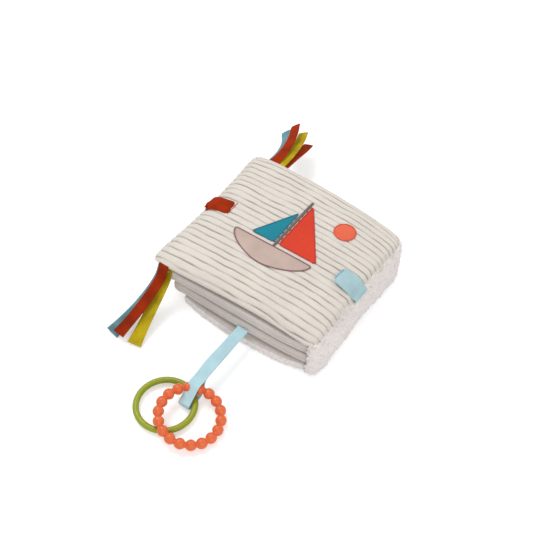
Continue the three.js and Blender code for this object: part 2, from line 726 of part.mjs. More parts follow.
// The strap: two layers out of page two's near seam, spreading to a loop round both rings.
const strapRootZ = pageTwo.seam(0);
const layerHalf = (strapThickness + strapLayerGap) / 2;
const beadAtStrapZ = beadRingZ + (beadRingX - strapX) * Math.tan(beadRingTilt);
const strapHighZ = beadAtStrapZ + beadRadius + ringClearance + strapThickness / 2;
const foldRadius = (strapHighZ - strapLowZ) / 2;
const foldCentreY = strapFoldY + foldRadius;
const splitY = strapRootY - strapReach * strapSplitShare;
const strapAt = (y, z) => new THREE.Vector3(strapX, y, z);
const foldTurns = [-1 / 2, -1 / 4, 0, 1 / 4, 1 / 2];
const foldPoints = foldTurns.map((turn) => {
  const angle = Math.PI * turn;
  return strapAt(foldCentreY - foldRadius * Math.cos(angle), strapLowZ + foldRadius * (1 + Math.sin(angle)));
});
const loopEntryY = foldCentreY + foldRadius * loopEntryShare;
const strapPoints = [
  strapAt(strapRootY, strapRootZ - layerHalf),
  strapAt(splitY, strapHighZ - 2 * layerHalf - strapThickness),
  strapAt(loopEntryY, strapLowZ + loopEntryRise),
  strapAt(foldCentreY + foldRadius * loopFloorShare, strapLowZ),
  ...foldPoints,
  strapAt(splitY, strapHighZ),
  strapAt(strapRootY, strapRootZ + layerHalf),
];
const strapCurve = new THREE.CatmullRomCurve3(strapPoints, false, 'centripetal');
const spineWard = new THREE.Vector3(1, 0, 0);
addMesh('ring_strap', band(strapCurve, spineWard, strapWidth, strapThickness, strapSteps), satinBlue);

export default book;
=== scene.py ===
import math

import bmesh
import bpy
import numpy as np
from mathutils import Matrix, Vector, noise
from mathutils.bvhtree import BVHTree


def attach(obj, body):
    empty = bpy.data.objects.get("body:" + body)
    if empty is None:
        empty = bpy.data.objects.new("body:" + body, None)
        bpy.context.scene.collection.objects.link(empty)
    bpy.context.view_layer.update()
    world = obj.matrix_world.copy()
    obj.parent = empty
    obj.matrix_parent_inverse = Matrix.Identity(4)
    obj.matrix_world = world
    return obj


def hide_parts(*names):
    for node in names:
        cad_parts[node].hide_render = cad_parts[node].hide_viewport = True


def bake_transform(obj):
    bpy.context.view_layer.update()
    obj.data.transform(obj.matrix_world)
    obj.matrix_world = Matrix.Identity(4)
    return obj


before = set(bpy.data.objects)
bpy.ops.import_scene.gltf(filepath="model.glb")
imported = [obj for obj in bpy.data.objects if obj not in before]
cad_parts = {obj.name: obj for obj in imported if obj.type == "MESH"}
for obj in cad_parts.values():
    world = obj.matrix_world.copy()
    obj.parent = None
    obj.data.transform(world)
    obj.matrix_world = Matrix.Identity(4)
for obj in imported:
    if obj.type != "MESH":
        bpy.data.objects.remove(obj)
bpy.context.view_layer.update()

MM = 0.001

# Sizes of the model in millimetres, the same as its source states.
FORE_EDGE = -96.0
SPINE_EDGE = 96.0
HALF_DEPTH = 88.0
FIT_GAP = 0.3
RIB_HEIGHT = 0.9
DRAW_SHARE = 0.05
CORNER_POWER = 12
FAR_BOW_SHARE = 0.03
FAR_TAPER_SHARE = 0.13
COVER_TOP = 59.5
FILM_INSET = 6.5
HINGE = (93.6, 30.75)
TAPE_INSET = 14
TAPE_RIM_GAP = 1.5
TAPE_RADIUS = 3
TAPE_THICKNESS = 0.8
SATIN_THICKNESS = 1.1
SATIN_WIDTH = 23
SATIN_REACH = 22
VELVET_THICKNESS = 1.4
VELVET_WIDTH = 21


class Leaf:
    """A padded leaf: its plan shape, its slab of height and the seam between its two cloths."""

    def __init__(self, left, right, bottom, top, power, crown, corner, near, seams=(0.5, 0.5)):
        self.middle = (left + right) / 2
        self.half_width = (right - left) / 2
        self.bottom = bottom
        self.top = top
        self.power = power
        self.crown = crown
        self.corner = corner
        self.near = near
        self.seam_left = bottom + (top - bottom) * seams[0]
        self.seam_right = bottom + (top - bottom) * seams[1]

    def seam(self, u):
        return self.seam_left + (self.seam_right - self.seam_left) * (u + 1) / 2

    def plan(self, u, v, inset=0.0):
        corner_u = 1 - self.corner * np.abs(v) ** CORNER_POWER
        corner_v = 1 - self.corner * np.abs(u) ** CORNER_POWER
        near_side = 1 - self.near * (1 - u * u)
        far_side = 1 + FAR_BOW_SHARE * (1 - u * u) - FAR_TAPER_SHARE * ((u + 1) / 2) ** 2
        side = near_side + (far_side - near_side) * (v + 1) / 2
        x = self.middle + (self.half_width - inset) * u * corner_u * (1 - DRAW_SHARE * (1 - v * v))
        y = (HALF_DEPTH - inset) * v * corner_v * side
        return x, y

    def dome(self, u, v):
        edge = (1 - np.abs(u) ** self.power) * (1 - np.abs(v) ** self.power)
        crown = (1 - u * u) * (1 - v * v)
        return np.sqrt(np.clip(edge, 0, 1)) * (1 - self.crown) + crown * self.crown

    def upper(self, u, v, inset=0.0, depth=0.0):
        seam = self.seam(u) + FIT_GAP / 2
        x, y = self.plan(u, v, inset)
        return np.stack([x, y, seam + (self.top - seam - depth) * self.dome(u, v)], -1)

    def lower(self, u, v, inset=0.0, depth=0.0, gain=1.0):
        seam = self.seam(u) - FIT_GAP / 2
        x, y = self.plan(u, v, inset)
        full = np.minimum(1, self.dome(u, v) * gain)
        return np.stack([x, y, seam - np.maximum(0, seam - self.bottom - depth) * full], -1)

    def upper_at(self, x, y):
        """Height of the leaf's upper side at a plan position."""
        u = v = 0.0
        for _ in range(8):
            at_x, at_y = self.plan(u, v)
            u = float(np.clip(u + (x - at_x) / self.half_width, -1, 1))
            v = float(np.clip(v + (y - at_y) / HALF_DEPTH, -1, 1))
        return float(self.upper(np.array(u), np.array(v))[2])


BACK = Leaf(-66, 94.8, 0, 13, 40, 0.08, 0.05, -0.08)
PAGE_TWO = Leaf(-75, 94.8, 13.5, 28, 80, 0.08, 0.028, -0.03)
PAGE_ONE = Leaf(-86, 94.8, 28.5, 43, 80, 0.08, 0.028, 0.01)
COVER = Leaf(FORE_EDGE, SPINE_EDGE, 43.5, COVER_TOP, 8, 0.3, 0.028, 0.05, seams=(0.4, 0.15))

# Materials.
WHITE = (1, 1, 1, 1)


def linear(r, g, b):
    def one(c):
        c /= 255
        return c / 12.92 if c <= 0.04045 else ((c + 0.055) / 1.055) ** 2.4

    return (one(r), one(g), one(b), 1)


def grey(level):
    return (level, level, level, 1)


def shade(colour, factor):
    return (*(c * factor for c in colour[:3]), 1)


def add_node(tree, kind, *sources, **values):
    """A new node with the sources linked to its first inputs and the values on its named ones."""
    node = tree.nodes.new(kind)
    for name, value in values.items():
        node.inputs[name].default_value = value
    for socket, source in zip(node.inputs, sources):
        tree.links.new(source, socket)
    return node


class Shader:
    """A node material with small helpers for its parts."""

    def __init__(self, name, rough, specular, sheen=0.0, sheen_rough=0.4):
        self.material = bpy.data.materials.new(name)
        self.material.use_nodes = True
        self.tree = self.material.node_tree
        self.main = self.tree.nodes["Principled BSDF"]
        self.set("Roughness", rough)
        self.set("Specular IOR Level", specular)
        if sheen:
            self.set("Sheen Weight", sheen)
            self.set("Sheen Roughness", sheen_rough)
        self.coords = self.tree.nodes.new("ShaderNodeTexCoord")
        self.height = None

    def set(self, name, value):
        self.main.inputs[name].default_value = value

    def link(self, a, b):
        self.tree.links.new(a, b)

    def noise(self, scale, detail, stretch=None):
        place = self.coords.outputs["Object"]
        if stretch:
            place = add_node(self.tree, "ShaderNodeMapping", place, Scale=stretch).outputs["Vector"]
        return add_node(self.tree, "ShaderNodeTexNoise", place, Scale=scale, Detail=detail).outputs["Fac"]

    def threads(self, scale, distortion):
        """Fine bands along a strip, by its UVs."""
        place = self.coords.outputs["UV"]
        node = add_node(self.tree, "ShaderNodeTexWave", place, Scale=scale, Distortion=distortion)
        node.bands_direction = "Y"
        return node.outputs["Fac"]

    def attribute(self, name):
        node = self.tree.nodes.new("ShaderNodeAttribute")
        node.attribute_name = name
        return node.outputs["Fac"]

    def ramp(self, fac, stops):
        node = add_node(self.tree, "ShaderNodeValToRGB", fac)
        while len(node.color_ramp.elements) < len(stops):
            node.color_ramp.elements.new(0.5)
        for element, (position, colour) in zip(node.color_ramp.elements, stops):
            element.position = position
            element.color = colour
        return node.outputs["Color"]

    def mottle(self, scale, detail, low, high, start=0.3, end=0.7):
        """Soft patches of noise between two colours."""
        return self.ramp(self.noise(scale, detail), [(start, low), (end, high)])

    def times(self, a, b):
        node = self.tree.nodes.new("ShaderNodeMix")
        node.data_type = "RGBA"
        node.blend_type = "MULTIPLY"
        node.inputs[0].default_value = 1.0
        self.link(a, node.inputs[6])
        self.link(b, node.inputs[7])
        return node.outputs[2]

    def colour(self, output):
        self.link(output, self.main.inputs["Base Color"])

    def bump(self, fac, distance, strength):
        node = add_node(self.tree, "ShaderNodeBump", Distance=distance, Strength=strength)
        self.link(fac, node.inputs["Height"])
        if self.height:
            self.link(self.height, node.inputs["Normal"])
        self.height = node.outputs["Normal"]
        self.link(self.height, self.main.inputs["Normal"])


def corduroy():
    """Wide ribs of pile with narrow grooves between them, and painted shade that darkens the ribs' slopes
    and the grooves.
    """
    s = Shader("corduroy_cream", 0.95, 0.12, sheen=0.3, sheen_rough=0.5)
    # Painted shade: a ramp driven by a per-point attribute darkens the colour from the ridge, over the
    # slope, into the groove.
    ridge, slope, painted_groove_shade = linear(228, 221, 211), linear(213, 204, 193), linear(150, 138, 126)
    ribs = s.ramp(s.attribute("painted_groove_shade"), [(0.0, ridge), (0.4, slope), (1.0, painted_groove_shade)])
    tone = s.mottle(26, 4, (0.93, 0.93, 0.94, 1), WHITE)
    pile = s.noise(2200, 3, stretch=(0.35, 1, 1))
    fine = s.ramp(pile, [(0.3, grey(0.92)), (0.7, WHITE)])
    s.colour(s.times(s.times(ribs, tone), fine))
    s.bump(pile, 0.0004, 0.6)
    return s.material


def cloth(name, colour, dark=0.86, weave=1500, patch=22):
    """A soft woven or brushed cloth."""
    s = Shader(name, 0.9, 0.2, sheen=0.2)
    tone = s.mottle(patch, 4, shade(colour, dark), colour, 0.32, 0.68)
    s.colour(s.times(tone, s.mottle(weave, 2, grey(0.9), WHITE)))
    s.bump(s.noise(weave, 2), 0.00025, 0.5)
    s.bump(s.noise(170, 4), 0.0009, 0.5)
    return s.material


def plush(name, colour):
    """Short fluffy pile in small tufts."""
    s = Shader(name, 1.0, 0.1, sheen=0.6, sheen_rough=0.6)
    tufts = s.noise(420, 5)
    tone = s.ramp(tufts, [(0.34, shade(colour, 0.92)), (0.56, colour)])
    s.colour(s.times(tone, s.mottle(60, 3, (0.93, 0.91, 0.91, 1), WHITE)))
    s.bump(tufts, 0.0014, 0.4)
    s.bump(s.noise(1600, 2), 0.0005, 0.4)
    return s.material


def velvet(name, colour):
    s = Shader(name, 0.85, 0.15, sheen=0.9, sheen_rough=0.35)
    s.set("Sheen Tint", shade(colour, 1.6))
    brushed = s.mottle(60, 4, shade(colour, 0.62), colour, 0.35, 0.62)
    s.colour(s.times(brushed, s.mottle(2600, 2, grey(0.8), WHITE)))
    s.bump(s.noise(2600, 2), 0.0003, 0.6)
    return s.material


def satin(name, colour):
    """Woven satin ribbon: fine threads along it and a soft gloss."""
    s = Shader(name, 0.42, 0.5, sheen=0.25)
    s.set("Anisotropic", 0.5)
    threads = s.threads(90, 0.6)
    fine = s.ramp(threads, [(0.0, grey(0.93)), (1.0, WHITE)])
    s.colour(s.times(s.mottle(55, 3, shade(colour, 0.84), colour), fine))
    s.bump(threads, 0.00012, 0.5)
    s.bump(s.noise(240, 2), 0.0004, 0.35)
    return s.material


def silicone(name, colour):
    s = Shader(name, 0.34, 0.45)
    s.set("Subsurface Weight", 0.04)
    s.set("Subsurface Radius", (0.004, 0.002, 0.001))
    s.set("Subsurface Scale", 1.0)
    s.colour(s.mottle(90, 3, shade(colour, 0.93), colour))
    s.bump(s.noise(1400, 2), 0.00006, 0.5)
    return s.material


def thread(name, colour):
    s = Shader(name, 0.55, 0.4, sheen=0.2)
    s.colour(s.mottle(900, 2, shade(colour, 0.8), colour))
    s.bump(s.noise(2500, 2), 0.0001, 0.6)
    return s.material


def crinkle():
    s = Shader("film_clear", 0.25, 0.5)
    s.colour(s.mottle(200, 3, linear(205, 214, 220), linear(228, 234, 238)))
    s.bump(s.noise(260, 3), 0.0006, 0.7)
    return s.material


CREAM = corduroy()
PLUSH = plush("plush_grey", linear(238, 231, 228))
PAGE = cloth("page_lilac", linear(218, 209, 203))
WADDING = cloth("wadding_white", linear(242, 240, 236), weave=500, patch=120)
RUST = velvet("velvet_rust", linear(170, 48, 3))
MUSTARD = velvet("velvet_mustard", linear(204, 179, 26))
DULL_BLUE = velvet("velvet_blue", linear(122, 168, 178))
SATIN_BLUE = satin("satin_blue", linear(194, 233, 243))
SATIN_TAB = satin("satin_tab", linear(174, 209, 215))
SATIN_TAUPE = satin("satin_taupe", linear(200, 175, 163))
RED_FELT = cloth("felt_red", linear(224, 68, 45), dark=0.9, weave=1100)
TEAL_FELT = cloth("felt_teal", linear(30, 140, 160), dark=0.88, weave=1100)
CORAL_FELT = cloth("felt_coral", linear(238, 110, 80), dark=0.9, weave=1100)
MAUVE_THREAD = thread("thread_mauve", linear(140, 100, 104))
RED_THREAD = thread("thread_red", linear(196, 40, 30))
TEAL_THREAD = thread("thread_teal", linear(22, 104, 122))
CORAL_THREAD = thread("thread_coral", linear(214, 84, 58))
GREY_THREAD = thread("thread_grey", linear(110, 96, 92))
# Dark blue for a line across the spine tab's flap: a hem, painted darker to stand for the shade of the fold
# at the flap's free end.
HEM_AND_FOLD_SHADE = thread("thread_hem_and_fold_shade", linear(112, 158, 184))
LIME = silicone("silicone_lime", linear(147, 158, 5))
CORAL = silicone("silicone_coral", linear(228, 104, 52))


# Helpers that build meshes.
def linked(name, data):
    obj = bpy.data.objects.new(name, data)
    bpy.context.scene.collection.objects.link(obj)
    return obj


def smoothed(mesh):
    mesh.polygons.foreach_set("use_smooth", [True] * len(mesh.polygons))
    mesh.update()


def new_object(name, vertices, faces, material):
    mesh = bpy.data.meshes.new(name)
    mesh.from_pydata([tuple(v) for v in vertices], [], faces)
    mesh.materials.append(material)
    mesh.validate()
    smoothed(mesh)
    return linked(name, mesh)


def grid_faces(rows, columns, offset=0, flip=False, close_rows=False, close_columns=False):
    """Quads of a grid of points, joined up where it closes on itself."""
    faces = []
    for j in range(rows if close_rows else rows - 1):
        for i in range(columns if close_columns else columns - 1):
            row, next_row = offset + j * columns, offset + (j + 1) % rows * columns
            k = (i + 1) % columns
            face = (row + i, row + k, next_row + k, next_row + i)
            faces.append((face[0], *face[:0:-1]) if flip else face)
    return faces


def closed_grid(name, upper, lower, material):
    """A closed solid between two grids of points, upper and lower, of rows and columns."""
    rows, columns = upper.shape[:2]
    count = rows * columns
    faces = grid_faces(rows, columns) + grid_faces(rows, columns, count, flip=True)
    for i in range(columns - 1):
        faces.append((i, count + i, count + i + 1, i + 1))
        j = (rows - 1) * columns + i
        faces.append((j, j + 1, count + j + 1, count + j))
    for j in range(rows - 1):
        a, b = j * columns, (j + 1) * columns
        faces.append((a, b, count + b, count + a))
        c, d = a + columns - 1, b + columns - 1
        faces.append((c, count + c, count + d, d))
    points = np.concatenate([upper.reshape(-1, 3), lower.reshape(-1, 3)]) * MM
    return new_object(name, points, faces, material)


def crowded(count):
    """Lines from -1 to 1 that lie closer at both ends."""
    return np.sin((np.arange(count) / (count - 1) - 0.5) * math.pi)


def rim_lines(count):
    """Lines from -1 to 1 that crowd at both ends still more, where a padded edge turns round."""
    once = crowded(count)
    return once * 0.4 + np.sin(once * math.pi / 2) * 0.6


def rising(value, start, width):
    """Rises smoothly from 0 to 1 over the width after the start."""
    value = np.clip((value - start) / width, 0, 1)
    return value * value * (3 - 2 * value)


def catmull(points, count):
    """Points evenly spaced along a centripetal curve through the given points."""

    def between(t, start, end, a, b):
        return (end - t) / (end - start) * a + (t - start) / (end - start) * b

    p = np.array(points, float)
    p = np.vstack([2 * p[0] - p[1], p, 2 * p[-1] - p[-2]])
    knots = np.maximum(1e-6, np.linalg.norm(np.diff(p, axis=0), axis=1)) ** 0.5
    out = []
    for k in range(1, len(p) - 2):
        t = np.concatenate([[0], np.cumsum(knots[k - 1 : k + 2])])
        for at in np.linspace(t[1], t[2], 24, endpoint=False):
            a = [between(at, t[i], t[i + 1], p[k - 1 + i], p[k + i]) for i in range(3)]
            b = [between(at, t[i], t[i + 2], a[i], a[i + 1]) for i in range(2)]
            out.append(between(at, t[1], t[2], *b))
    out.append(p[-2])
    return resample(np.array(out), count)


def running_length(points):
    return np.concatenate([[0], np.cumsum(np.linalg.norm(np.diff(points, axis=0), axis=1))])


def length_of(line):
    return float(np.sum(np.linalg.norm(np.diff(line, axis=0), axis=1)))


def points_at(points, along, where):
    return np.stack([np.interp(where, along, points[:, k]) for k in range(3)], -1)


def resample(points, count):
    along = running_length(points)
    return points_at(points, along, np.linspace(0, along[-1], count))


def directions(points, closed=False):
    if closed:
        d = np.roll(points, -1, 0) - np.roll(points, 1, 0)
    else:
        d = np.gradient(points, axis=0)
    return d / np.linalg.norm(d, axis=1)[:, None]


def fix_normals(obj):
    work = bmesh.new()
    work.from_mesh(obj.data)
    bmesh.ops.recalc_face_normals(work, faces=work.faces)
    work.to_mesh(obj.data)
    work.free()


def swept(line, side, top, across, up):
    """Points of a profile carried along a line, by its shares to the side and to the top."""
    return line[:, None] + side[:, None] * across[..., None] + top[:, None] * up[..., None]


def strip(name, line, side, width, thickness, material, across, curl=0.0, widths=1.0, lift=0.0):
    """A flat band of cloth along a line. curl bends it across, lift puffs its outer face."""
    line = np.asarray(line, float)
    count = len(line)
    along = directions(line)
    sides = np.broadcast_to(np.asarray(side, float), (count, 3))
    sides = sides - along * np.sum(sides * along, 1)[:, None]
    sides /= np.linalg.norm(sides, axis=1)[:, None]
    normals = np.cross(sides, along)
    widths, curl, lift = (np.broadcast_to(each, count)[:, None] for each in (widths, curl, lift))
    a = crowded(across)
    edge = np.clip(1 - np.abs(a) ** 10, 0, 1) ** 0.5
    ring_a = np.concatenate([a, a[::-1][1:-1]])
    ring_b = np.concatenate([edge, -edge[::-1][1:-1]])
    profile = len(ring_a)
    bend = curl * ring_a**2
    puff = lift * (1 - ring_a**2) * (ring_b > 0)
    points = swept(line, sides, normals, ring_a * width / 2 * widths, ring_b * thickness / 2 + bend + puff)
    faces = grid_faces(count, profile, close_columns=True)
    for base, flip in ((0, True), ((count - 1) * profile, False)):
        for k in range(profile // 2):
            a0, a1 = base + k, base + k + 1
            b0, b1 = base + (profile - k) % profile, base + (profile - k - 1) % profile
            face = tuple(dict.fromkeys((a0, a1, b1, b0)))
            faces.append(face[::-1] if flip else face)
    obj = new_object(name, points.reshape(-1, 3) * MM, faces, material)
    uv = obj.data.uv_layers.new(name="UVMap")
    shares = np.stack(np.meshgrid(np.linspace(0, 1, count), (ring_a + 1) / 2, indexing="ij"), -1)
    loops = np.zeros(len(obj.data.loops), int)
    obj.data.loops.foreach_get("vertex_index", loops)
    uv.data.foreach_set("uv", shares.reshape(-1, 2)[loops].ravel())
    fix_normals(obj)
    return obj


def tube(name, line, radius, material, sides=8, closed=False, flatten=1.0, radii=1.0):
    """A round or flattened tube along a line of points."""
    line = np.asarray(line, float)
    count = len(line)
    along = directions(line, closed)
    side = np.cross(along, (0.0, 0.0, 1.0))
    side /= np.linalg.norm(side, axis=1)[:, None]
    top = np.cross(side, along)
    angles = np.linspace(0, 2 * math.pi, sides, endpoint=False)
    reach = radius * np.broadcast_to(radii, count)[:, None]
    points = swept(line, side, top, np.cos(angles) * reach, np.sin(angles) * reach * flatten)
    faces = grid_faces(count, sides, close_rows=closed, close_columns=True)
    if not closed:
        faces.append(tuple(range(sides))[::-1])
        faces.append(tuple((count - 1) * sides + k for k in range(sides)))
    obj = new_object(name, points.reshape(-1, 3) * MM, faces, material)
    fix_normals(obj)
    return obj


def push(mesh, amount):
    """Moves each point along its normal by an amount, which is a function of the point."""
    normals = [v.normal.copy() for v in mesh.vertices]
    for vertex, normal in zip(mesh.vertices, normals):
        vertex.co += normal * amount(vertex.co)
    mesh.update()


def fuzz(obj, size, strength, seed=0.0):
    """Moves each point a little along its normal, by smooth noise of the given size."""
    shift = Vector((seed, seed * 1.7, seed * 0.3))
    push(obj.data, lambda at: noise.noise(at / size + shift) * strength)


def apply_modifiers(obj):
    graph = bpy.context.evaluated_depsgraph_get()
    mesh = bpy.data.meshes.new_from_object(obj.evaluated_get(graph))
    obj.modifiers.clear()
    old = obj.data
    obj.data = mesh
    bpy.data.meshes.remove(old)
    smoothed(mesh)


def subdivide(obj):
    obj.modifiers.new("finer", "SUBSURF").levels = 1
    apply_modifiers(obj)


def points_of(obj):
    return np.array([v.co for v in obj.data.vertices])


def move_points(obj, points):
    obj.data.vertices.foreach_set("co", np.asarray(points, np.float32).ravel())
    obj.data.update()


def place(obj, body, slot, *nodes):
    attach(obj, body)
    if nodes:
        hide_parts(*nodes)
    return obj


# Camera and studio. Places, sizes and distances are in metres here.
CAMERA_TURN = (35.35, 50.66)
CAMERA_DISTANCE = 1.05766
CAMERA_TARGET = (-0.00917, -0.01648, 0.025)
CAMERA_LENS = 70.0
WORLD_LIGHT = 0.55
LAMPS = (
    # Name, place, size and power.
    ("key", (-0.6, 0.05, 1.2), 0.6, 7.3),
    ("fill", (1.0, -0.8, 0.7), 1.0, 6.3),
    ("rim", (0.2, 1.1, 0.7), 0.8, 2.5),
)
FLOOR_HALF = 3
FLOOR_DROP = 0.0004
FLOOR_GREY = 0.86
FLOOR_GLOW = 0.38


def camera():
    azimuth, elevation = (math.radians(turn) for turn in CAMERA_TURN)
    level = math.cos(elevation)
    back = Vector((math.sin(azimuth) * level, -math.cos(azimuth) * level, math.sin(elevation)))
    data = bpy.data.cameras.new("camera")
    data.lens = CAMERA_LENS
    data.sensor_width = 36
    obj = linked("camera", data)
    obj.location = Vector(CAMERA_TARGET) + back * CAMERA_DISTANCE
    obj.rotation_euler = back.to_track_quat("Z", "Y").to_euler()
    bpy.context.scene.camera = obj


def background_weight(tree):
    """One on camera, glossy and transmission rays, and none on the rays that light the object."""
    path = add_node(tree, "ShaderNodeLightPath")
    weight = path.outputs["Is Camera Ray"]
    for ray in ("Is Glossy Ray", "Is Transmission Ray"):
        larger = add_node(tree, "ShaderNodeMath", weight, path.outputs[ray])
        larger.operation = "MAXIMUM"
        weight = larger.outputs[0]
    return weight


def surroundings():
    world = bpy.data.worlds.new("studio")
    world.use_nodes = True
    bpy.context.scene.world = world
    tree = world.node_tree
    tree.nodes.clear()
    lit, seen = (
        add_node(tree, "ShaderNodeBackground", Color=WHITE, Strength=strength).outputs[0]
        for strength in (WORLD_LIGHT, 1.0)
    )
    mix = add_node(tree, "ShaderNodeMixShader", background_weight(tree), lit, seen)
    add_node(tree, "ShaderNodeOutputWorld", mix.outputs[0])


def floor():
    material = bpy.data.materials.new("floor_white")
    material.use_nodes = True
    tree = material.node_tree
    tree.nodes.clear()
    plain = add_node(tree, "ShaderNodeBsdfDiffuse", Color=grey(FLOOR_GREY))
    glow = add_node(tree, "ShaderNodeEmission", Color=WHITE)
    level = add_node(tree, "ShaderNodeMath", background_weight(tree))
    level.operation = "MULTIPLY"
    level.inputs[1].default_value = FLOOR_GLOW
    tree.links.new(level.outputs[0], glow.inputs["Strength"])
    both = add_node(tree, "ShaderNodeAddShader", plain.outputs[0], glow.outputs[0])
    add_node(tree, "ShaderNodeOutputMaterial", both.outputs[0])
    corners = [(FLOOR_HALF * x, FLOOR_HALF * y, 0) for x, y in ((-1, -1), (1, -1), (1, 1), (-1, 1))]
    ground = new_object("floor", corners, [(0, 1, 2, 3)], material)
    ground.location.z = -FLOOR_DROP


def lamps():
    for name, spot, size, power in LAMPS:
        data = bpy.data.lights.new(name, "AREA")
        data.size = size
        data.energy = power
        lamp = linked(name, data)
        lamp.location = spot
        lamp.rotation_euler = Vector(spot).to_track_quat("Z", "Y").to_euler()


camera()
surroundings()
lamps()
floor()
bpy.context.scene.view_settings.view_transform = "Standard"

# Padded leaves, in millimetres unless a name says metres.
PAD_LINES = 81
PAD_INSET = 0.4
PAD_VOXEL_METRES = 0.003
PAD_CREASE_METRES = 0.0006
PAD_CREASE_SIZE_METRES = 0.022
PAD_PRESSURE = 3.0
PAD_FRAMES = 20
PAD_SWELL = 1.2
RIM_GAIN = 0.7
RIM_REACH = 6.0
WADDING_DEPTH = 1.6
FILM_ROOM = 0.5
PLUSH_RISE = 4.5
SEAM_RADIUS = 0.5
SEAM_STEPS = 560


def blow_up(pad, leaf):
    """Swells the pad as cloth under pressure, by no more than the limit."""
    start = points_of(pad)
    for vertex in pad.data.vertices:
        at = vertex.co / PAD_CREASE_SIZE_METRES + Vector((leaf.top, 0, 0))
        vertex.co.z += noise.noise(at) * PAD_CREASE_METRES
    modifier = pad.modifiers.new("cloth", "CLOTH")
    settings = modifier.settings
    settings.use_pressure = True
    settings.uniform_pressure_force = PAD_PRESSURE
    settings.effector_weights.gravity = 0
    settings.quality = 5
    modifier.point_cache.frame_start = 1
    modifier.point_cache.frame_end = PAD_FRAMES
    scene = bpy.context.scene
    for number in range(1, PAD_FRAMES + 1):
        scene.frame_set(number)
    apply_modifiers(pad)
    scene.frame_set(1)
    moved = points_of(pad) - start
    length = np.linalg.norm(moved, axis=1)
    share = np.minimum(1, PAD_SWELL * MM / np.maximum(length, 1e-9))
    move_points(pad, start + moved * share[:, None])


def pad_mesh(name, leaf, gain, low, high, near_out):
    """A leaf's stuffed form: its smooth form blown up a little as cloth, held to its own slab."""
    u, v = np.meshgrid(rim_lines(PAD_LINES), rim_lines(PAD_LINES))
    pad = closed_grid(name, leaf.upper(u, v, PAD_INSET, high), leaf.lower(u, v, PAD_INSET, low, gain), PAGE)
    remesh = pad.modifiers.new("even", "REMESH")
    remesh.mode = "VOXEL"
    remesh.voxel_size = PAD_VOXEL_METRES
    apply_modifiers(pad)
    blow_up(pad, leaf)
    hold_to_slab(pad, leaf.bottom + low, leaf.top - high)
    subdivide(pad)
    square_rim(pad, leaf, near_out)
    hold_to_slab(pad, leaf.bottom + low, leaf.top - high)
    return pad


def square_rim(obj, leaf, near_out):
    """Makes a leaf's rim blunt and fills its fore-edge corners, which the cloth had drawn in."""
    points = points_of(obj)
    from_side = leaf.half_width - np.abs(points[:, 0] / MM - leaf.middle)
    from_end = HALF_DEPTH - np.abs(points[:, 1] / MM)
    inside = np.clip(np.minimum(from_side, from_end) - 3, 0, None)
    middle = (leaf.bottom + leaf.top) / 2 * MM
    points[:, 2] = middle + (points[:, 2] - middle) * (1 + RIM_GAIN * np.exp(-inside / RIM_REACH))
    if leaf is not COVER:
        u, v = (points[:, 0] / MM - leaf.middle) / leaf.half_width, points[:, 1] / MM / HALF_DEPTH
        corner = rising(-u, 0.8, 0.2) * rising(np.abs(v), 0.8, 0.2)
        points[:, 0] -= 3.0 * MM * corner
        points[:, 1] += np.sign(v) * 4.5 * MM * corner
        points[:, 1] -= near_out * MM * rising(-v, 0.85, 0.12) * rising(1 - u, 0, 0.5)
    move_points(obj, points)


def hold_to_slab(obj, low, high):
    """Presses the pad flat where it meets the leaf above or below."""
    points = points_of(obj)
    points[:, 2] = np.clip(points[:, 2], low * MM, high * MM)
    move_points(obj, points)


# Each pad's leaf, gain of its lower side, room below and above it, and how far its near edge comes out.
PADS = {
    "back_cover": (BACK, 1.12, 0.9, 0.9, 1.6),
    "page_two": (PAGE_TWO, 1.0, 0.5, 0.8, 0.6),
    "page_one": (PAGE_ONE, 1.0, 0.8, 1.0, 3.2),
    "front_cover": (COVER, 1.0, 0.8, 0.3, 0.0),
}
pads = {body: pad_mesh(body + "_pad", *form) for body, form in PADS.items()}


def copy_of_pad(body, name, material, inward):
    """A copy of a body's pad in another material, drawn in by a depth."""
    mesh = pads[body].data.copy()
    mesh.materials.clear()
    mesh.materials.append(material)
    if inward:
        push(mesh, lambda at: -inward * MM)
    return linked(name, mesh)


def half_of(body, upper, name, material, close=False, inward=0.0, seam_gap=0.0):
    """The part of a body's pad above or below its seam, cut along the seam's plane."""
    leaf = PADS[body][0]
    obj = copy_of_pad(body, name, material, inward)
    work = bmesh.new()
    work.from_mesh(obj.data)
    slope = (leaf.seam_right - leaf.seam_left) / (2 * leaf.half_width)
    height = leaf.seam(0.0) + (seam_gap if upper else -seam_gap)
    bmesh.ops.bisect_plane(
        work,
        geom=[*work.verts, *work.edges, *work.faces],
        plane_co=Vector((leaf.middle * MM, 0, height * MM)),
        plane_no=Vector((-slope, 0, 1)).normalized(),
        clear_inner=upper,
        clear_outer=not upper,
    )
    if close:
        bmesh.ops.holes_fill(work, edges=[e for e in work.edges if e.is_boundary])
        bmesh.ops.recalc_face_normals(work, faces=work.faces)
    work.to_mesh(obj.data)
    work.free()
    smoothed(obj.data)
    return obj


def cloth_half(body, upper, name, node, seam_gap=0.0):
    return place(half_of(body, upper, name, PAGE, seam_gap=seam_gap), body, "page_lilac", node)


def page_cloths(body):
    """A page's upper and under cloths."""
    sides = ("upper", "under")
    return [cloth_half(body, side == "upper", f"{body}_{side}_cloth", f"{body}_{side}") for side in sides]


def filling(body, name, node):
    """The wadding that fills a body's pad in one piece."""
    return place(copy_of_pad(body, name, WADDING, WADDING_DEPTH), body, "wadding_white", node)


def half_filling(body, upper, name, node):
    half = half_of(body, upper, name, WADDING, close=True, inward=WADDING_DEPTH, seam_gap=FILM_ROOM)
    return place(half, body, "wadding_white", node)


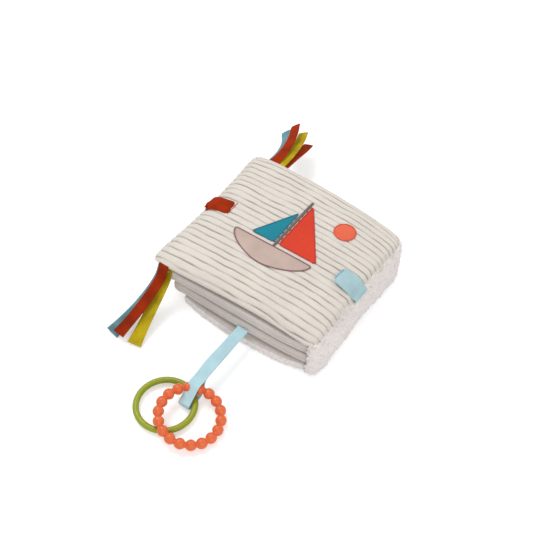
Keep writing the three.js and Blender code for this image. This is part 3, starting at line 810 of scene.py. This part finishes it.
def rim_of(obj):
    """The open edge of a half pad, as an ordered loop of points in millimetres."""
    work = bmesh.new()
    work.from_mesh(obj.data)
    left = dict.fromkeys(e for e in work.edges if e.is_boundary)
    best = []
    while left:
        loop = list(left.popitem()[0].verts)
        while ahead := [e for e in loop[-1].link_edges if e in left]:
            del left[ahead[0]]
            loop.append(ahead[0].other_vert(loop[-1]))
        if len(loop) > len(best):
            best = loop
    points = np.array([v.co[:] for v in best]) / MM
    work.free()
    if np.linalg.norm(points[0] - points[-1]) < 0.01:
        points = points[:-1]
    return points


def seam_cord(body, shell):
    """The turned and stitched seam round a leaf, a little proud and pinched at each stitch."""
    rim = rim_of(shell)
    line = resample(np.vstack([rim, rim[:1]]), SEAM_STEPS + 1)[:-1]
    for _ in range(4):
        line = (np.roll(line, 1, 0) + line * 2 + np.roll(line, -1, 0)) / 4
    pinch = 1 + 0.2 * np.sin(np.arange(SEAM_STEPS) * 2 * math.pi / 4)
    cord = tube(body + "_seam", line, SEAM_RADIUS, PAGE, closed=True, flatten=0.8, radii=pinch)
    return place(cord, body, "page_lilac")


back_plush = half_of("back_cover", False, "back_cover_plush", PLUSH, seam_gap=-PLUSH_RISE)
subdivide(back_plush)
fuzz(back_plush, 0.0032, 0.0012)
fuzz(back_plush, 0.0015, 0.0006, 5.0)
place(back_plush, "back_cover", "plush_grey", "back_plush")
back_lining = cloth_half("back_cover", True, "back_cover_lining", "back_lining", seam_gap=PLUSH_RISE)
back_inside = filling("back_cover", "back_cover_wadding", "back_wadding")
seam_cord("back_cover", back_lining)

two_upper, two_under = page_cloths("page_two")
two_inside = filling("page_two", "page_two_filling", "page_two_wadding")
seam_cord("page_two", two_upper)

one_upper, one_under = page_cloths("page_one")
one_high = half_filling("page_one", True, "page_one_filling_upper", "page_one_wadding_upper")
one_low = half_filling("page_one", False, "page_one_filling_lower", "page_one_wadding_lower")
seam_cord("page_one", one_upper)

cover_lining = cloth_half("front_cover", False, "front_cover_lining", "cover_lining")
cover_inside = filling("front_cover", "front_cover_wadding", "cover_wadding")


def crinkle_film():
    ripple, half_thickness = 0.25, 0.06
    lines = np.linspace(-1, 1, 90)
    x, y = PAGE_ONE.plan(*np.meshgrid(lines, lines), FILM_INSET)
    wave = np.array([noise.noise(Vector((a, b, 0)) / 9) for a, b in zip(x.ravel(), y.ravel())])
    z = PAGE_ONE.seam(0.0) + wave.reshape(x.shape) * ripple
    upper, lower = (np.stack([x, y, z + side * half_thickness], -1) for side in (1, -1))
    film = closed_grid("page_one_crinkle_film", upper, lower, crinkle())
    place(film, "page_one", "film_clear", "page_one_film")


crinkle_film()

# Corduroy face of the front cover, in millimetres and shares of the leaf.
RIB_PITCH = 7.35
FACE_OVERHANG = 1.0
FACE_DEPTH = 0.5
CLING = 0.6
RIB_SWAY = 1.6
GROOVE_WIDTH = 0.95
GROOVE_SHADE_WIDTH = 0.75


def arc_lines(leaf, count):
    """Lines across the leaf, evenly spaced along the cloth's own surface at mid-width."""
    fine = crowded(1201)
    along = running_length(leaf.upper(np.zeros_like(fine), fine))
    where = np.linspace(0, along[-1], count)
    return np.interp(where, along, fine), where - along[-1] / 2


def rounded_corners(u, v):
    """The leaf's shares with its corners rounded, more at the spine."""
    start = np.where(u > 0, np.where(v > 0, 0.85, 0.9), 0.95)
    a = np.clip((np.abs(u) - start) / (1 - start), 0, 1)
    b = np.clip((np.abs(v) - start) / (1 - start), 0, 1)
    shrink = np.maximum(a, b) / np.maximum((a**2.3 + b**2.3) ** (1 / 2.3), 1e-9)
    both = (a > 0) & (b > 0)
    round_u = np.where(both, np.sign(u) * (start + a * shrink * (1 - start)), u)
    round_v = np.where(both, np.sign(v) * (start + b * shrink * (1 - start)), v)
    return round_u, round_v


def rolled_rim(points, u, v):
    """The cloth rolls out over its seam: fuller along the spine and the near corner of the fore-edge."""
    at_spine = 3.0 * rising(u, 0.86, 0.11) - 0.8 * rising(u, 0.985, 0.015)
    at_fore = rising(-u, 0.95, 0.05)
    at_near = rising(-v, 0.93, 0.07) * rising(-u, -0.7, 1.4)
    points[..., 0] += at_spine * (1 - 0.4 * v * v) - 1.4 * at_fore
    points[..., 1] -= 2.4 * at_near
    points[..., 2] -= 4.2 * rising(u, 0.95, 0.05) + 1.6 * at_fore + 2.2 * rising(-v, 0.97, 0.03) * at_near
    return points


def face_points(u, v):
    """The face's smooth form: part the leaf's own, part the pad's, with a rolled rim."""
    rest = COVER.upper(*rounded_corners(u, v), -FACE_OVERHANG)
    tree = BVHTree.FromObject(pads["front_cover"], bpy.context.evaluated_depsgraph_get())
    points = rest.copy()
    for at in np.ndindex(u.shape):
        found = tree.find_nearest(Vector(rest[at]) * MM)[0]
        if found is not None:
            points[at] = np.array(found) / MM * CLING + rest[at] * (1 - CLING)
    rim = np.minimum(1 - np.abs(u), 1 - np.abs(v))
    hold = np.clip(rim / 0.03, 0, 1)[..., None]
    points = rest * (1 - hold) + points * hold
    for _ in range(3):
        inner = (points[:-2, 1:-1] + points[2:, 1:-1] + points[1:-1, :-2] + points[1:-1, 2:]) / 4
        points[1:-1, 1:-1] = points[1:-1, 1:-1] * 0.4 + inner * 0.6
    return rolled_rim(points, u, v)


def corduroy_face():
    rows, columns = 641, 121
    v_lines, across = arc_lines(COVER, rows)
    u, v = np.meshgrid(crowded(columns), v_lines)
    points = face_points(u, v)
    normals = np.cross(np.gradient(points, axis=1), np.gradient(points, axis=0))
    normals /= np.maximum(np.linalg.norm(normals, axis=2), 1e-9)[..., None]
    sway, swell, groove_depth_noise = (np.zeros_like(u) for _ in range(3))
    for at in np.ndindex(u.shape):
        x, y = points[at][0], across[at[0]]
        spot = Vector((x / 30, y / 34, 3.1))
        sway[at] = noise.noise(spot) + 0.35 * noise.noise(spot * 3.1)
        swell[at] = noise.noise(spot * 1.6 + Vector((7, 3, 1)))
        groove_depth_noise[at] = noise.noise(Vector((x / 17, y / 6.5, 8.4)))
    phase = (across[:, None] + sway * RIB_SWAY) / RIB_PITCH
    from_groove = np.abs(phase - np.floor(phase) - 0.5) * RIB_PITCH
    # Noise varies how deep each groove is cut, and the painted shade in the grooves follows that depth.
    depth = np.clip(0.8 + 0.5 * groove_depth_noise, 0.45, 1)
    fade = np.clip((1 - np.abs(v)) / 0.008, 0, 1)
    cut = depth * np.exp(-((from_groove / GROOVE_WIDTH) ** 2))
    ridge = 0.62 * (1 - cut) + 0.38 * np.sqrt(from_groove / RIB_PITCH * 2)
    height = (RIB_HEIGHT * 1.35 * ridge + 0.4 * swell - 0.2) * fade
    upper = points + normals * height[..., None]
    face = closed_grid("front_cover_corduroy", upper, points - normals * FACE_DEPTH, CREAM)
    # Painted shade for the corduroy's colour: darkest in the middle of each groove, and stronger where the
    # groove is cut deeper.
    painted_groove_shade = depth**1.4 * np.exp(-((from_groove / GROOVE_SHADE_WIDTH) ** 2))
    layer = face.data.attributes.new("painted_groove_shade", "FLOAT", "POINT")
    layer.data.foreach_set("value", np.tile(painted_groove_shade.ravel(), 2).astype(np.float32))
    place(face, "front_cover", "corduroy_cream", "cover_corduroy")
    return face


cover_tree = BVHTree.FromObject(corduroy_face(), bpy.context.evaluated_depsgraph_get())


def top_of_cover(x, y):
    """Height of the corduroy's ribs at a plan position, smoothed over one rib, in millimetres."""
    spots = [Vector((x * MM, (y + shift) * MM, 0.2)) for shift in (-2.4, 0.0, 2.4)]
    hits = [cover_tree.ray_cast(spot, Vector((0, 0, -1)))[0] for spot in spots]
    return max((hit.z / MM for hit in hits if hit is not None), default=COVER_TOP)


# Appliqué patches and their satin-stitched edges.
HULL = (-2.0, -26.0)
HULL_HALF_WIDTH = 46
HULL_HEIGHT = 36
HULL_DECK_SHARE = 0.3
MAINSAIL = (44, 62)
JIB = (26, 46)
SUN = (46, 42)
SUN_RADIUS = 11
SAIL_LIFT = 5
MAST_RISE = 5
MAST_TO_SAIL = 3.25
DECK = HULL[1] + HULL_HEIGHT * HULL_DECK_SHARE + SAIL_LIFT
PATCH_LIFT = 0.35
PATCH_SWELL = 0.5
PATCH_SKIRT = 0.9
STITCH_LIFT = 0.55
STITCH_RADIUS = 0.75
STITCH_STEP = 0.42


def rounded(corners, radius, per_corner=8):
    """A closed outline with its corners rounded off."""
    points = []
    count = len(corners)
    for k in range(count):
        before, here, after = (np.array(corners[(k + s) % count], float) for s in (-1, 0, 1))
        a, b = before - here, after - here
        reach = min(radius, np.linalg.norm(a) / 2.2, np.linalg.norm(b) / 2.2)
        start = here + a / np.linalg.norm(a) * reach
        end = here + b / np.linalg.norm(b) * reach
        for t in np.linspace(0, 1, per_corner):
            points.append((1 - t) ** 2 * start + 2 * t * (1 - t) * here + t * t * end)
    return np.array(points)


def closed_outline(points, count):
    loop = np.column_stack([np.vstack([points, points[:1]]), np.zeros(len(points) + 1)])
    return resample(loop, count + 1)[:-1, :2]


def pulsed(count, low):
    """Radii of a satin stitch, every second one a little less."""
    return np.where(np.arange(count) % 2 == 0, 1.0, low)


def patch(name, outline, centre, felt, edge_thread, slot, node):
    count, rings = 220, 16
    outline = closed_outline(outline, count)
    centre = np.array(centre, float)
    upper = np.zeros((rings + 1, count, 3))
    for r, k in np.ndindex(rings + 1, count):
        share = r / rings
        x, y = centre + (outline[k] - centre) * max(share, 0.004)
        upper[r, k] = (x, y, top_of_cover(x, y) + PATCH_LIFT + PATCH_SWELL * (1 - share**4))
    for _ in range(2):
        z = upper[..., 2]
        z[:] = (np.roll(z, 1, 1) + np.roll(z, -1, 1) + 2 * z) / 4
    vertices = np.vstack([upper.reshape(-1, 3), upper[-1] - (0, 0, PATCH_SKIRT)])
    faces = grid_faces(rings + 2, count, flip=True, close_columns=True)
    faces.append(tuple(range(count)))
    obj = new_object(name, vertices * MM, faces, felt)
    fix_normals(obj)
    place(obj, "front_cover", slot, node)
    steps = int(length_of(np.vstack([outline, outline[:1]])) / STITCH_STEP)
    steps -= steps % 2
    ring = np.array([(x, y, top_of_cover(x, y) + STITCH_LIFT) for x, y in closed_outline(outline, steps)])
    for _ in range(3):
        z = ring[:, 2]
        z[:] = (np.roll(z, 1) + np.roll(z, -1) + 2 * z) / 4
    look = {"sides": 10, "closed": True, "flatten": 0.55, "radii": pulsed(steps, 0.86)}
    edge = tube(name + "_stitching", ring, STITCH_RADIUS, edge_thread, **look)
    place(edge, "front_cover", slot)
    x, y = outline.T


def hull(*look):
    corners = []
    for turn in (math.pi * (1 + i / 12) for i in range(13)):
        x = HULL_HALF_WIDTH * math.cos(turn) * (1 - 0.28 * math.sin(turn) ** 2)
        y = HULL_HEIGHT * (1 - HULL_DECK_SHARE) * math.sin(turn) + HULL_HEIGHT * HULL_DECK_SHARE
        corners.append((HULL[0] + x, HULL[1] + y))
    patch("boat_hull", rounded(corners, 3.0), HULL, *look)


def sail(name, size, toward, *look):
    """A sail beside the mast, with its middle at a third of its width and height."""
    width, height = size
    foot = HULL[0] + toward * MAST_TO_SAIL
    corners = [(foot, DECK), (foot + toward * width, DECK), (foot, DECK + height)]
    patch(name, rounded(corners, 3.5), (foot + toward * width / 3, DECK + height / 3), *look)


def sun(*look):
    turns = np.linspace(0, 2 * math.pi, 64, endpoint=False)
    outline = np.column_stack([SUN[0] + SUN_RADIUS * np.cos(turns), SUN[1] + SUN_RADIUS * np.sin(turns)])
    patch("sun", outline, SUN, *look)


def mast():
    count = 180
    bottom = DECK - SAIL_LIFT + FIT_GAP
    top = bottom + MAINSAIL[1] + SAIL_LIFT + MAST_RISE - 2 * FIT_GAP
    line = [(HULL[0], y, top_of_cover(HULL[0], y) + 0.5) for y in np.linspace(bottom, top, count)]
    pole = tube("boat_mast", line, 1.6, GREY_THREAD, sides=12, flatten=0.45, radii=pulsed(count, 0.88))
    place(pole, "front_cover", "felt_grey", "applique_mast")


hull(SATIN_TAUPE, MAUVE_THREAD, "satin_taupe", "applique_hull")
sail("boat_mainsail", MAINSAIL, 1, RED_FELT, RED_THREAD, "felt_red", "applique_mainsail")
sail("boat_jib", JIB, -1, TEAL_FELT, TEAL_THREAD, "felt_teal", "applique_jib")
sun(CORAL_FELT, CORAL_THREAD, "felt_coral", "applique_sun")
mast()


# Plush spine.
def spine():
    """The plush strip from seam to seam, its ends turned round the corners of the leaves."""
    rows, columns, turned, straight = 90, 480, 12, 260
    cap = np.linspace(0.935, 0.99, turned)
    u = np.concatenate([cap, np.ones(straight), cap[::-1]])
    v = np.concatenate([-np.ones(turned), rim_lines(straight), np.ones(turned)])
    low, high = np.stack(BACK.plan(u, v), -1), np.stack(COVER.plan(*rounded_corners(u, v)), -1)
    low_z, high_z = BACK.seam(1.0) - 0.25, COVER.seam(1.0) + 0.6
    outer = np.zeros((rows, columns, 3))
    inner = np.zeros((rows, columns, 3))
    for row, rise in enumerate(np.linspace(-0.1, 1.0, rows)):
        held = max(rise, 0.0)
        path = np.column_stack([low + (high - low) * held, np.zeros(len(u))])
        for _ in range(30):
            path[1:-1] = (path[:-2] + 2 * path[1:-1] + path[2:]) / 4
        whole = running_length(path)
        frayed = [0.9 + 1.6 * noise.noise(Vector((rise * 9, end, 0.5))) for end in (0.0, 7.0)]
        where = np.linspace(frayed[0], whole[-1] - frayed[1], columns)
        path = points_at(path, whole, where)
        along = directions(path)
        out = np.stack([along[:, 1], -along[:, 0], np.zeros(columns)], -1)
        from_end = np.minimum(where, whole[-1] - where)
        swell = rising(from_end, 6, 24) * math.sin(math.pi * min(1, 0.12 + held)) ** 0.7
        edge = 0.2 + 0.8 * rising(from_end, 0, 7)
        lip = 1 - 0.6 * rising(rise, 0.86, 0.14)
        inner[row] = path + out * (0.5 + 0.5 * edge + 1.2 * swell)[:, None]
        outer[row] = inner[row] + out * (3.0 * edge * lip + 1.6 * swell)[:, None]
        inner[row, :, 2] = outer[row, :, 2] = low_z + (high_z - low_z) * rise
    skin = closed_grid("spine_plush_skin", outer, inner, PLUSH)
    fuzz(skin, 0.011, 0.0016, 4.0)
    fuzz(skin, 0.0042, 0.0021, 9.0)
    fuzz(skin, 0.0017, 0.0009, 2.0)
    fix_normals(skin)
    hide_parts("spine_plush")
    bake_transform(skin)


def hinge_tape(leaf, name, body, node):
    u, v = np.meshgrid([-1.0, -0.33, 0.33, 1.0], np.linspace(-1, 1, 121))
    rim_x, y = leaf.plan(1.0, v * (1 - TAPE_INSET / HALF_DEPTH))
    to_hinge = np.stack([HINGE[0] - rim_x, 0 * y, HINGE[1] - leaf.seam(1.0) + 0 * y], -1)
    reach = np.linalg.norm(to_hinge, axis=2)
    to_hinge /= reach[..., None]
    distance = (reach - TAPE_RIM_GAP) * (1 - u) / 2 + TAPE_RADIUS * (1 + u) / 2
    middle = np.stack([HINGE[0] + 0 * y, y, HINGE[1] + 0 * y], -1) - to_hinge * distance[..., None]
    offset = np.cross(to_hinge, (0, 1, 0)) * (TAPE_THICKNESS / 2)
    tape = closed_grid(name, middle + offset, middle - offset, PAGE)
    fuzz(tape, 0.004, 0.0002)
    place(tape, body, "page_lilac", node)


spine()
hinge_tape(PAGE_TWO, "page_two_hinge_tape", "page_two", "page_two_tape")
hinge_tape(PAGE_ONE, "page_one_hinge_tape", "page_one", "page_one_tape")


# Tabs on the cover.
def over_cover(x, y, lift):
    """A point off the cover's smooth cloth, where the cloth slopes along X."""
    slope = (COVER.upper_at(x + FIT_GAP, y) - COVER.upper_at(x - FIT_GAP, y)) / (2 * FIT_GAP)
    normal = np.array([-slope, 0, 1]) / math.hypot(slope, 1)
    return np.array([x, y, COVER.upper_at(x, y)]) + normal * lift


def spine_tab():
    """The satin tab: its turn over the rim stays on the cover and its flap lies back on the ribs."""
    rim, lift, middle_y, steps = SPINE_EDGE * (1 - DRAW_SHARE), 1.6, -7, 80
    on_ribs = RIB_HEIGHT + FIT_GAP + SATIN_THICKNESS / 2

    def lying(share):
        x = rim - SATIN_REACH * (1 - math.cos(share * math.pi / 2))
        return over_cover(x, middle_y, on_ribs + lift * share)

    seam_z = COVER.seam(1.0)
    root = [(rim + 4.8, middle_y - 3, seam_z - 5.6), (rim + 5.6, middle_y - 1, seam_z + 0.5)]
    over_rim = [lying(step / 12) + (lift * (4 - step) / 4, 0, 0) for step in range(2, 5)]
    turn_line = catmull([*root, *over_rim], steps // 2)
    widths = 1 - 0.45 * np.exp(-np.linspace(0, 1, steps // 2) / 0.3)
    look = (SATIN_WIDTH, SATIN_THICKNESS, SATIN_TAB, 25)
    turn = strip("spine_satin_turn", turn_line, (0, 1, 0), *look, widths=widths)
    place(turn, "front_cover", "satin_blue", "spine_tab_turn")

    line = catmull([lying(0.31 + 0.69 * step / 8) + (0, 0, 0.25) for step in range(9)], steps)
    share = np.linspace(0, 1, steps)
    puff = 0.9 * np.sin(share * math.pi) ** 0.7
    tilt = 0.22 * share
    sides = np.stack([0 * tilt, np.cos(tilt), -np.sin(tilt)], -1)
    widths = 1 - 0.3 * np.exp(-((1 - share) / 0.05)) + 0.05 * np.sin(share * math.pi)
    flap = strip("spine_satin_flap", line, sides, *look, lift=puff, widths=widths)
    fuzz(flap, 0.007, 0.0004, 3.0)
    place(flap, "spine_tab", "satin_blue", "spine_tab")
    # A dark line across the flap near its free end: a hem tube whose darker colour is painted shade of the
    # fold there.
    hem_and_shade_at, hem_and_shade_half = 74, 8.4
    hem_and_shade_line = []
    for reach in np.linspace(-hem_and_shade_half, hem_and_shade_half, 30):
        rise = SATIN_THICKNESS / 2 + 0.3 + 0.3 * (1 - (reach / SATIN_WIDTH * 2) ** 2)
        hem_and_shade_line.append(line[hem_and_shade_at] + sides[hem_and_shade_at] * reach + np.array([0, 0, rise]))
    hem_and_shade = tube("spine_flap_hem_and_fold_shade", hem_and_shade_line, 0.45, HEM_AND_FOLD_SHADE, flatten=0.6)
    place(hem_and_shade, "spine_tab", "satin_blue")


def fore_edge_tab():
    """The velvet tab, folded askew over the fore-edge and sewn down at its end."""
    rim, reach, start_y, steps = FORE_EDGE * (1 - DRAW_SHARE), 24, -2, 90
    on_ribs = RIB_HEIGHT + FIT_GAP + VELVET_THICKNESS / 2
    points = [(rim - 2.2, start_y, COVER.seam(-1.0) + VELVET_THICKNESS)]
    for share in np.arange(1, 13) / 12:
        x = rim + reach * (1 - math.cos(share * math.pi / 2)) - 1.4 * (1 - share)
        puff = 1.6 * abs(math.sin(math.pi * share)) ** 1.3
        points.append(over_cover(x, start_y + 5 * share, on_ribs + puff))
    line = catmull(points, steps)
    share = np.linspace(0, 1, steps)
    lift = 2.6 * np.sin(share * math.pi) ** 0.8
    curl = -1.2 * np.sin(share * math.pi)
    widths = 1 - 0.25 * np.exp(-((1 - share) / 0.06)) - 0.12 * (1 - share) ** 3
    slant = 0.42 * share
    sides = np.stack([np.sin(slant), -np.cos(slant), 0 * slant], -1)
    look = (VELVET_WIDTH - 2, VELVET_THICKNESS, RUST, 25)
    tab = strip("fore_edge_velvet_tab", line, sides, *look, lift=lift, curl=curl, widths=widths)
    fuzz(tab, 0.006, 0.0009, 2.0)
    stitch_x, stitch_length = rim + reach + 1.6, 1.7
    for step in range(7):
        y = -6 + step * 2.7
        low, high = sorted(top_of_cover(stitch_x, at) for at in (y, y + stitch_length))
        rise = ((0, low), (stitch_length / 2, high + 0.7), (stitch_length, low))
        ends = [(stitch_x, y + along, z) for along, z in rise]
        stitch = tube(f"fore_edge_stitch_{step}", catmull(ends, 9), 0.4, RED_THREAD)
        place(stitch, "front_cover", "velvet_rust")
    place(tab, "front_cover", "velvet_rust", "fore_edge_tab")


spine_tab()
fore_edge_tab()

# Ribbons at both ends of the fore-edge.
RIBBON_WIDTH = 11.5
RIBBON_FALL = 80
RIBBON_THICKNESS = 0.8
RIBBON_LAYER = 1.15
TAIL = {"inset": 14, "run": 1.35, "fall": 0.7, "turn": 0.2, "sink": 1.6, "flare": 0.3}
HEAD = {"inset": 19.7, "run": 1.0, "fall": 1.5, "turn": 0.6, "sink": 0, "flare": 0.0}


def ribbon(name, to_far, form, length, spot, drift, drop, layer, material, seed):
    root_x = FORE_EDGE + form["inset"] + spot * RIBBON_WIDTH
    rim_y = abs(float(COVER.plan(np.array(root_x / COVER.half_width), np.array(float(to_far)))[1]))
    run = math.sqrt(length**2 - RIBBON_FALL**2 * (drop**2 + drift**2))
    shares = np.array([0, 1 / 6, 1 / 3, 2 / 3, 1])
    outward = rim_y + FIT_GAP + RIBBON_THICKNESS / 2 + run * shares ** form["run"]
    fallen = form["sink"] * (1 - shares) + RIBBON_FALL * drop * shares ** form["fall"]
    height = COVER.seam(-1.0) - fallen
    points = []
    for i, s in enumerate(shares):
        ahead, behind = min(i + 1, 4), max(i - 1, 0)
        fall = np.array([outward[ahead] - outward[behind], height[ahead] - height[behind]])
        fall *= layer * RIBBON_LAYER / np.linalg.norm(fall)
        x = root_x + RIBBON_FALL * drift * s**2
        points.append((x, to_far * (outward[i] - fall[1]), height[i] + fall[0]))
    line = catmull(points, 90)
    share = np.linspace(0, 1, 90)
    curl = 0.4 * np.sin(share * 4.2 + seed) * share
    widths = 1 + 0.02 * np.sin(share * 9 + seed) + form["flare"] * (0.3 * share + 0.7 * share**8)
    turn = form["turn"] * share**0.7 * math.cos(seed)
    sides = np.stack([to_far * np.cos(turn), 0 * turn, np.sin(turn)], -1)
    look = (RIBBON_WIDTH, RIBBON_THICKNESS, material, 17)
    piece = strip(name, line, sides, *look, curl=curl, widths=widths)
    return piece


# Each ribbon's length, its place across in ribbon widths, its drift and drop as shares, and its layer.
for colour, material, slot, *shares in (
    ("rust", RUST, "velvet_rust", 85, 0, -0.065, 0.56, 2),
    ("mustard", MUSTARD, "velvet_mustard", 86, 0.3, 0.12, 0.58, -1),
    ("blue", DULL_BLUE, "velvet_blue", 88, -0.2, -0.15, 0.6, 0),
):
    near = ribbon("near_ribbon_" + colour, -1, TAIL, *shares, material, shares[4] + 0.3)
    place(near, "tail_ribbons", slot, "tail_ribbon_" + colour)
for colour, material, slot, *shares in (
    ("rust", RUST, "velvet_rust", 78, 0.15, -0.27, 0.16, 0),
    ("mustard", MUSTARD, "velvet_mustard", 80, 0.74, -0.23, 0.24, -1),
    ("blue", DULL_BLUE, "velvet_blue", 80, -0.05, -0.37, 0.3, -1),
    ("rust_low", RUST, "velvet_rust", 80, 1.05, -0.16, 0.37, -2),
):
    far = ribbon("far_ribbon_" + colour, 1, HEAD, *shares, material, shares[1] * 1.1)
    place(far, "head_ribbons", slot, "head_ribbon_" + colour)


# Rings and their strap.
STRAP_X = 15.5
STRAP_WIDTH = 12.5
STRAP_REACH = 95.8
STRAP_THICKNESS = 0.9
STRAP_LAYER_GAP = 0.5
STRAP_SPLIT_SHARE = 0.69
STRAP_FOLD_RADIUS = 4.0
strap_u = np.array((STRAP_X - PAGE_TWO.middle) / PAGE_TWO.half_width)
STRAP_ROOT_Y = float(PAGE_TWO.plan(strap_u, np.array(-1.0))[1]) - FIT_GAP
STRAP_FOLD_Y = STRAP_ROOT_Y - STRAP_REACH
TILT = math.radians(9.6)
PLAIN_RADIUS = 28
PLAIN_TUBE = 3.1
PLAIN_SIDE = 14.5
PLAIN_HOLD = 15.2
PLAIN_Y = STRAP_FOLD_Y + PLAIN_HOLD - math.sqrt(PLAIN_RADIUS**2 - PLAIN_SIDE**2)
PLAIN = (STRAP_X - PLAIN_SIDE, PLAIN_Y, STRAP_THICKNESS + FIT_GAP + 0.25 + PLAIN_TUBE)
BEAD_RING = 29.4
BEAD = 5.4
BEAD_NECK = 3.0
BEAD_COUNT = 18
BEADS_SIDE = 14
BEADS_HOLD = 18.2
BEADS_Y = STRAP_FOLD_Y + BEADS_HOLD - math.sqrt(BEAD_RING**2 - (BEADS_SIDE / math.cos(TILT)) ** 2)
BEADS = (STRAP_X + BEADS_SIDE, BEADS_Y, BEAD + BEAD_RING * math.sin(TILT))


def ring_mesh(name, centre, radius, section, steps, sides, material, tilt=0.0):
    """A ring whose section's radius is a function of the angle along it."""
    turns, around = (2 * math.pi * np.arange(count) / count for count in (steps, sides))
    r = np.array([section(turn) for turn in turns])[:, None]
    reach, rise = radius + r * np.cos(around), r * np.sin(around)
    x, y = reach * np.cos(turns)[:, None], reach * np.sin(turns)[:, None]
    level, up = math.cos(tilt), math.sin(tilt)
    points = np.stack([x * level + rise * up, y, rise * level - x * up], -1) + np.array(centre)
    faces = grid_faces(steps, sides, close_rows=True, close_columns=True)
    obj = new_object(name, points.reshape(-1, 3) * MM, faces, material)
    fix_normals(obj)
    return obj


def bead_section(turn):
    half_pitch = math.pi * BEAD_RING / BEAD_COUNT
    along = abs((turn / (2 * math.pi) * BEAD_COUNT) % 1 * 2 - 1) * half_pitch
    bead = math.sqrt(max(0.0, BEAD**2 - along**2))
    return min(BEAD, (bead**10 + (BEAD_NECK - 0.2) ** 10) ** 0.1)


def ring_strap():
    """The satin strap: down from page two's seam, round both rings and back."""
    low = STRAP_THICKNESS / 2
    root_z = PAGE_TWO.seam(0.0)
    half = (STRAP_THICKNESS + STRAP_LAYER_GAP) / 2
    bead_z = BEADS[2] + (BEADS[0] - STRAP_X) * math.tan(TILT)
    high = bead_z + BEAD + 1.4 + STRAP_THICKNESS / 2
    radius = STRAP_FOLD_RADIUS
    fold = [
        (STRAP_FOLD_Y + radius - radius * math.cos(math.pi * t), low + radius * (1 + math.sin(math.pi * t)))
        for t in (-0.5, -0.25, 0, 0.25, 0.42)
    ]
    split_y = STRAP_ROOT_Y - STRAP_REACH * STRAP_SPLIT_SHARE
    profile = [
        (STRAP_ROOT_Y, root_z - half),
        (split_y, high - 2 * half - STRAP_THICKNESS),
        (STRAP_FOLD_Y + 23.5, low + 2.6),
        (STRAP_FOLD_Y + 15, low),
        *fold,
        (STRAP_FOLD_Y + 10.5, low + 14),
        (STRAP_FOLD_Y + BEADS_HOLD, high),
        (split_y, high),
        (STRAP_ROOT_Y, root_z + half),
    ]
    line = catmull([(STRAP_X, y, z) for y, z in profile], 260)
    share = np.linspace(0, 1, 260)
    widths = 1 + 0.012 * np.sin(share * 31)
    at_fold = np.exp(-(((line[:, 1] - STRAP_FOLD_Y) / 9) ** 2))
    curl = -0.9 * np.sin(share * math.pi) ** 0.3 * (1 - 0.7 * at_fold)
    look = (STRAP_WIDTH, STRAP_THICKNESS, SATIN_BLUE, 17)
    strap = strip("ring_strap_satin", line, (1, 0, 0), *look, curl=curl, widths=widths)
    place(strap, "ring_strap", "satin_blue", "ring_strap")


plain = ring_mesh("plain_ring_smooth", PLAIN, PLAIN_RADIUS, lambda turn: PLAIN_TUBE, 160, 28, LIME)
place(plain, "plain_ring", "silicone_lime", "plain_ring")
beads = ring_mesh("beaded_ring_smooth", BEADS, BEAD_RING, bead_section, BEAD_COUNT * 24, 36, CORAL, TILT)
place(beads, "beaded_ring", "silicone_coral", "beaded_ring")
ring_strap()

for pad in pads.values():
    bpy.data.objects.remove(pad)
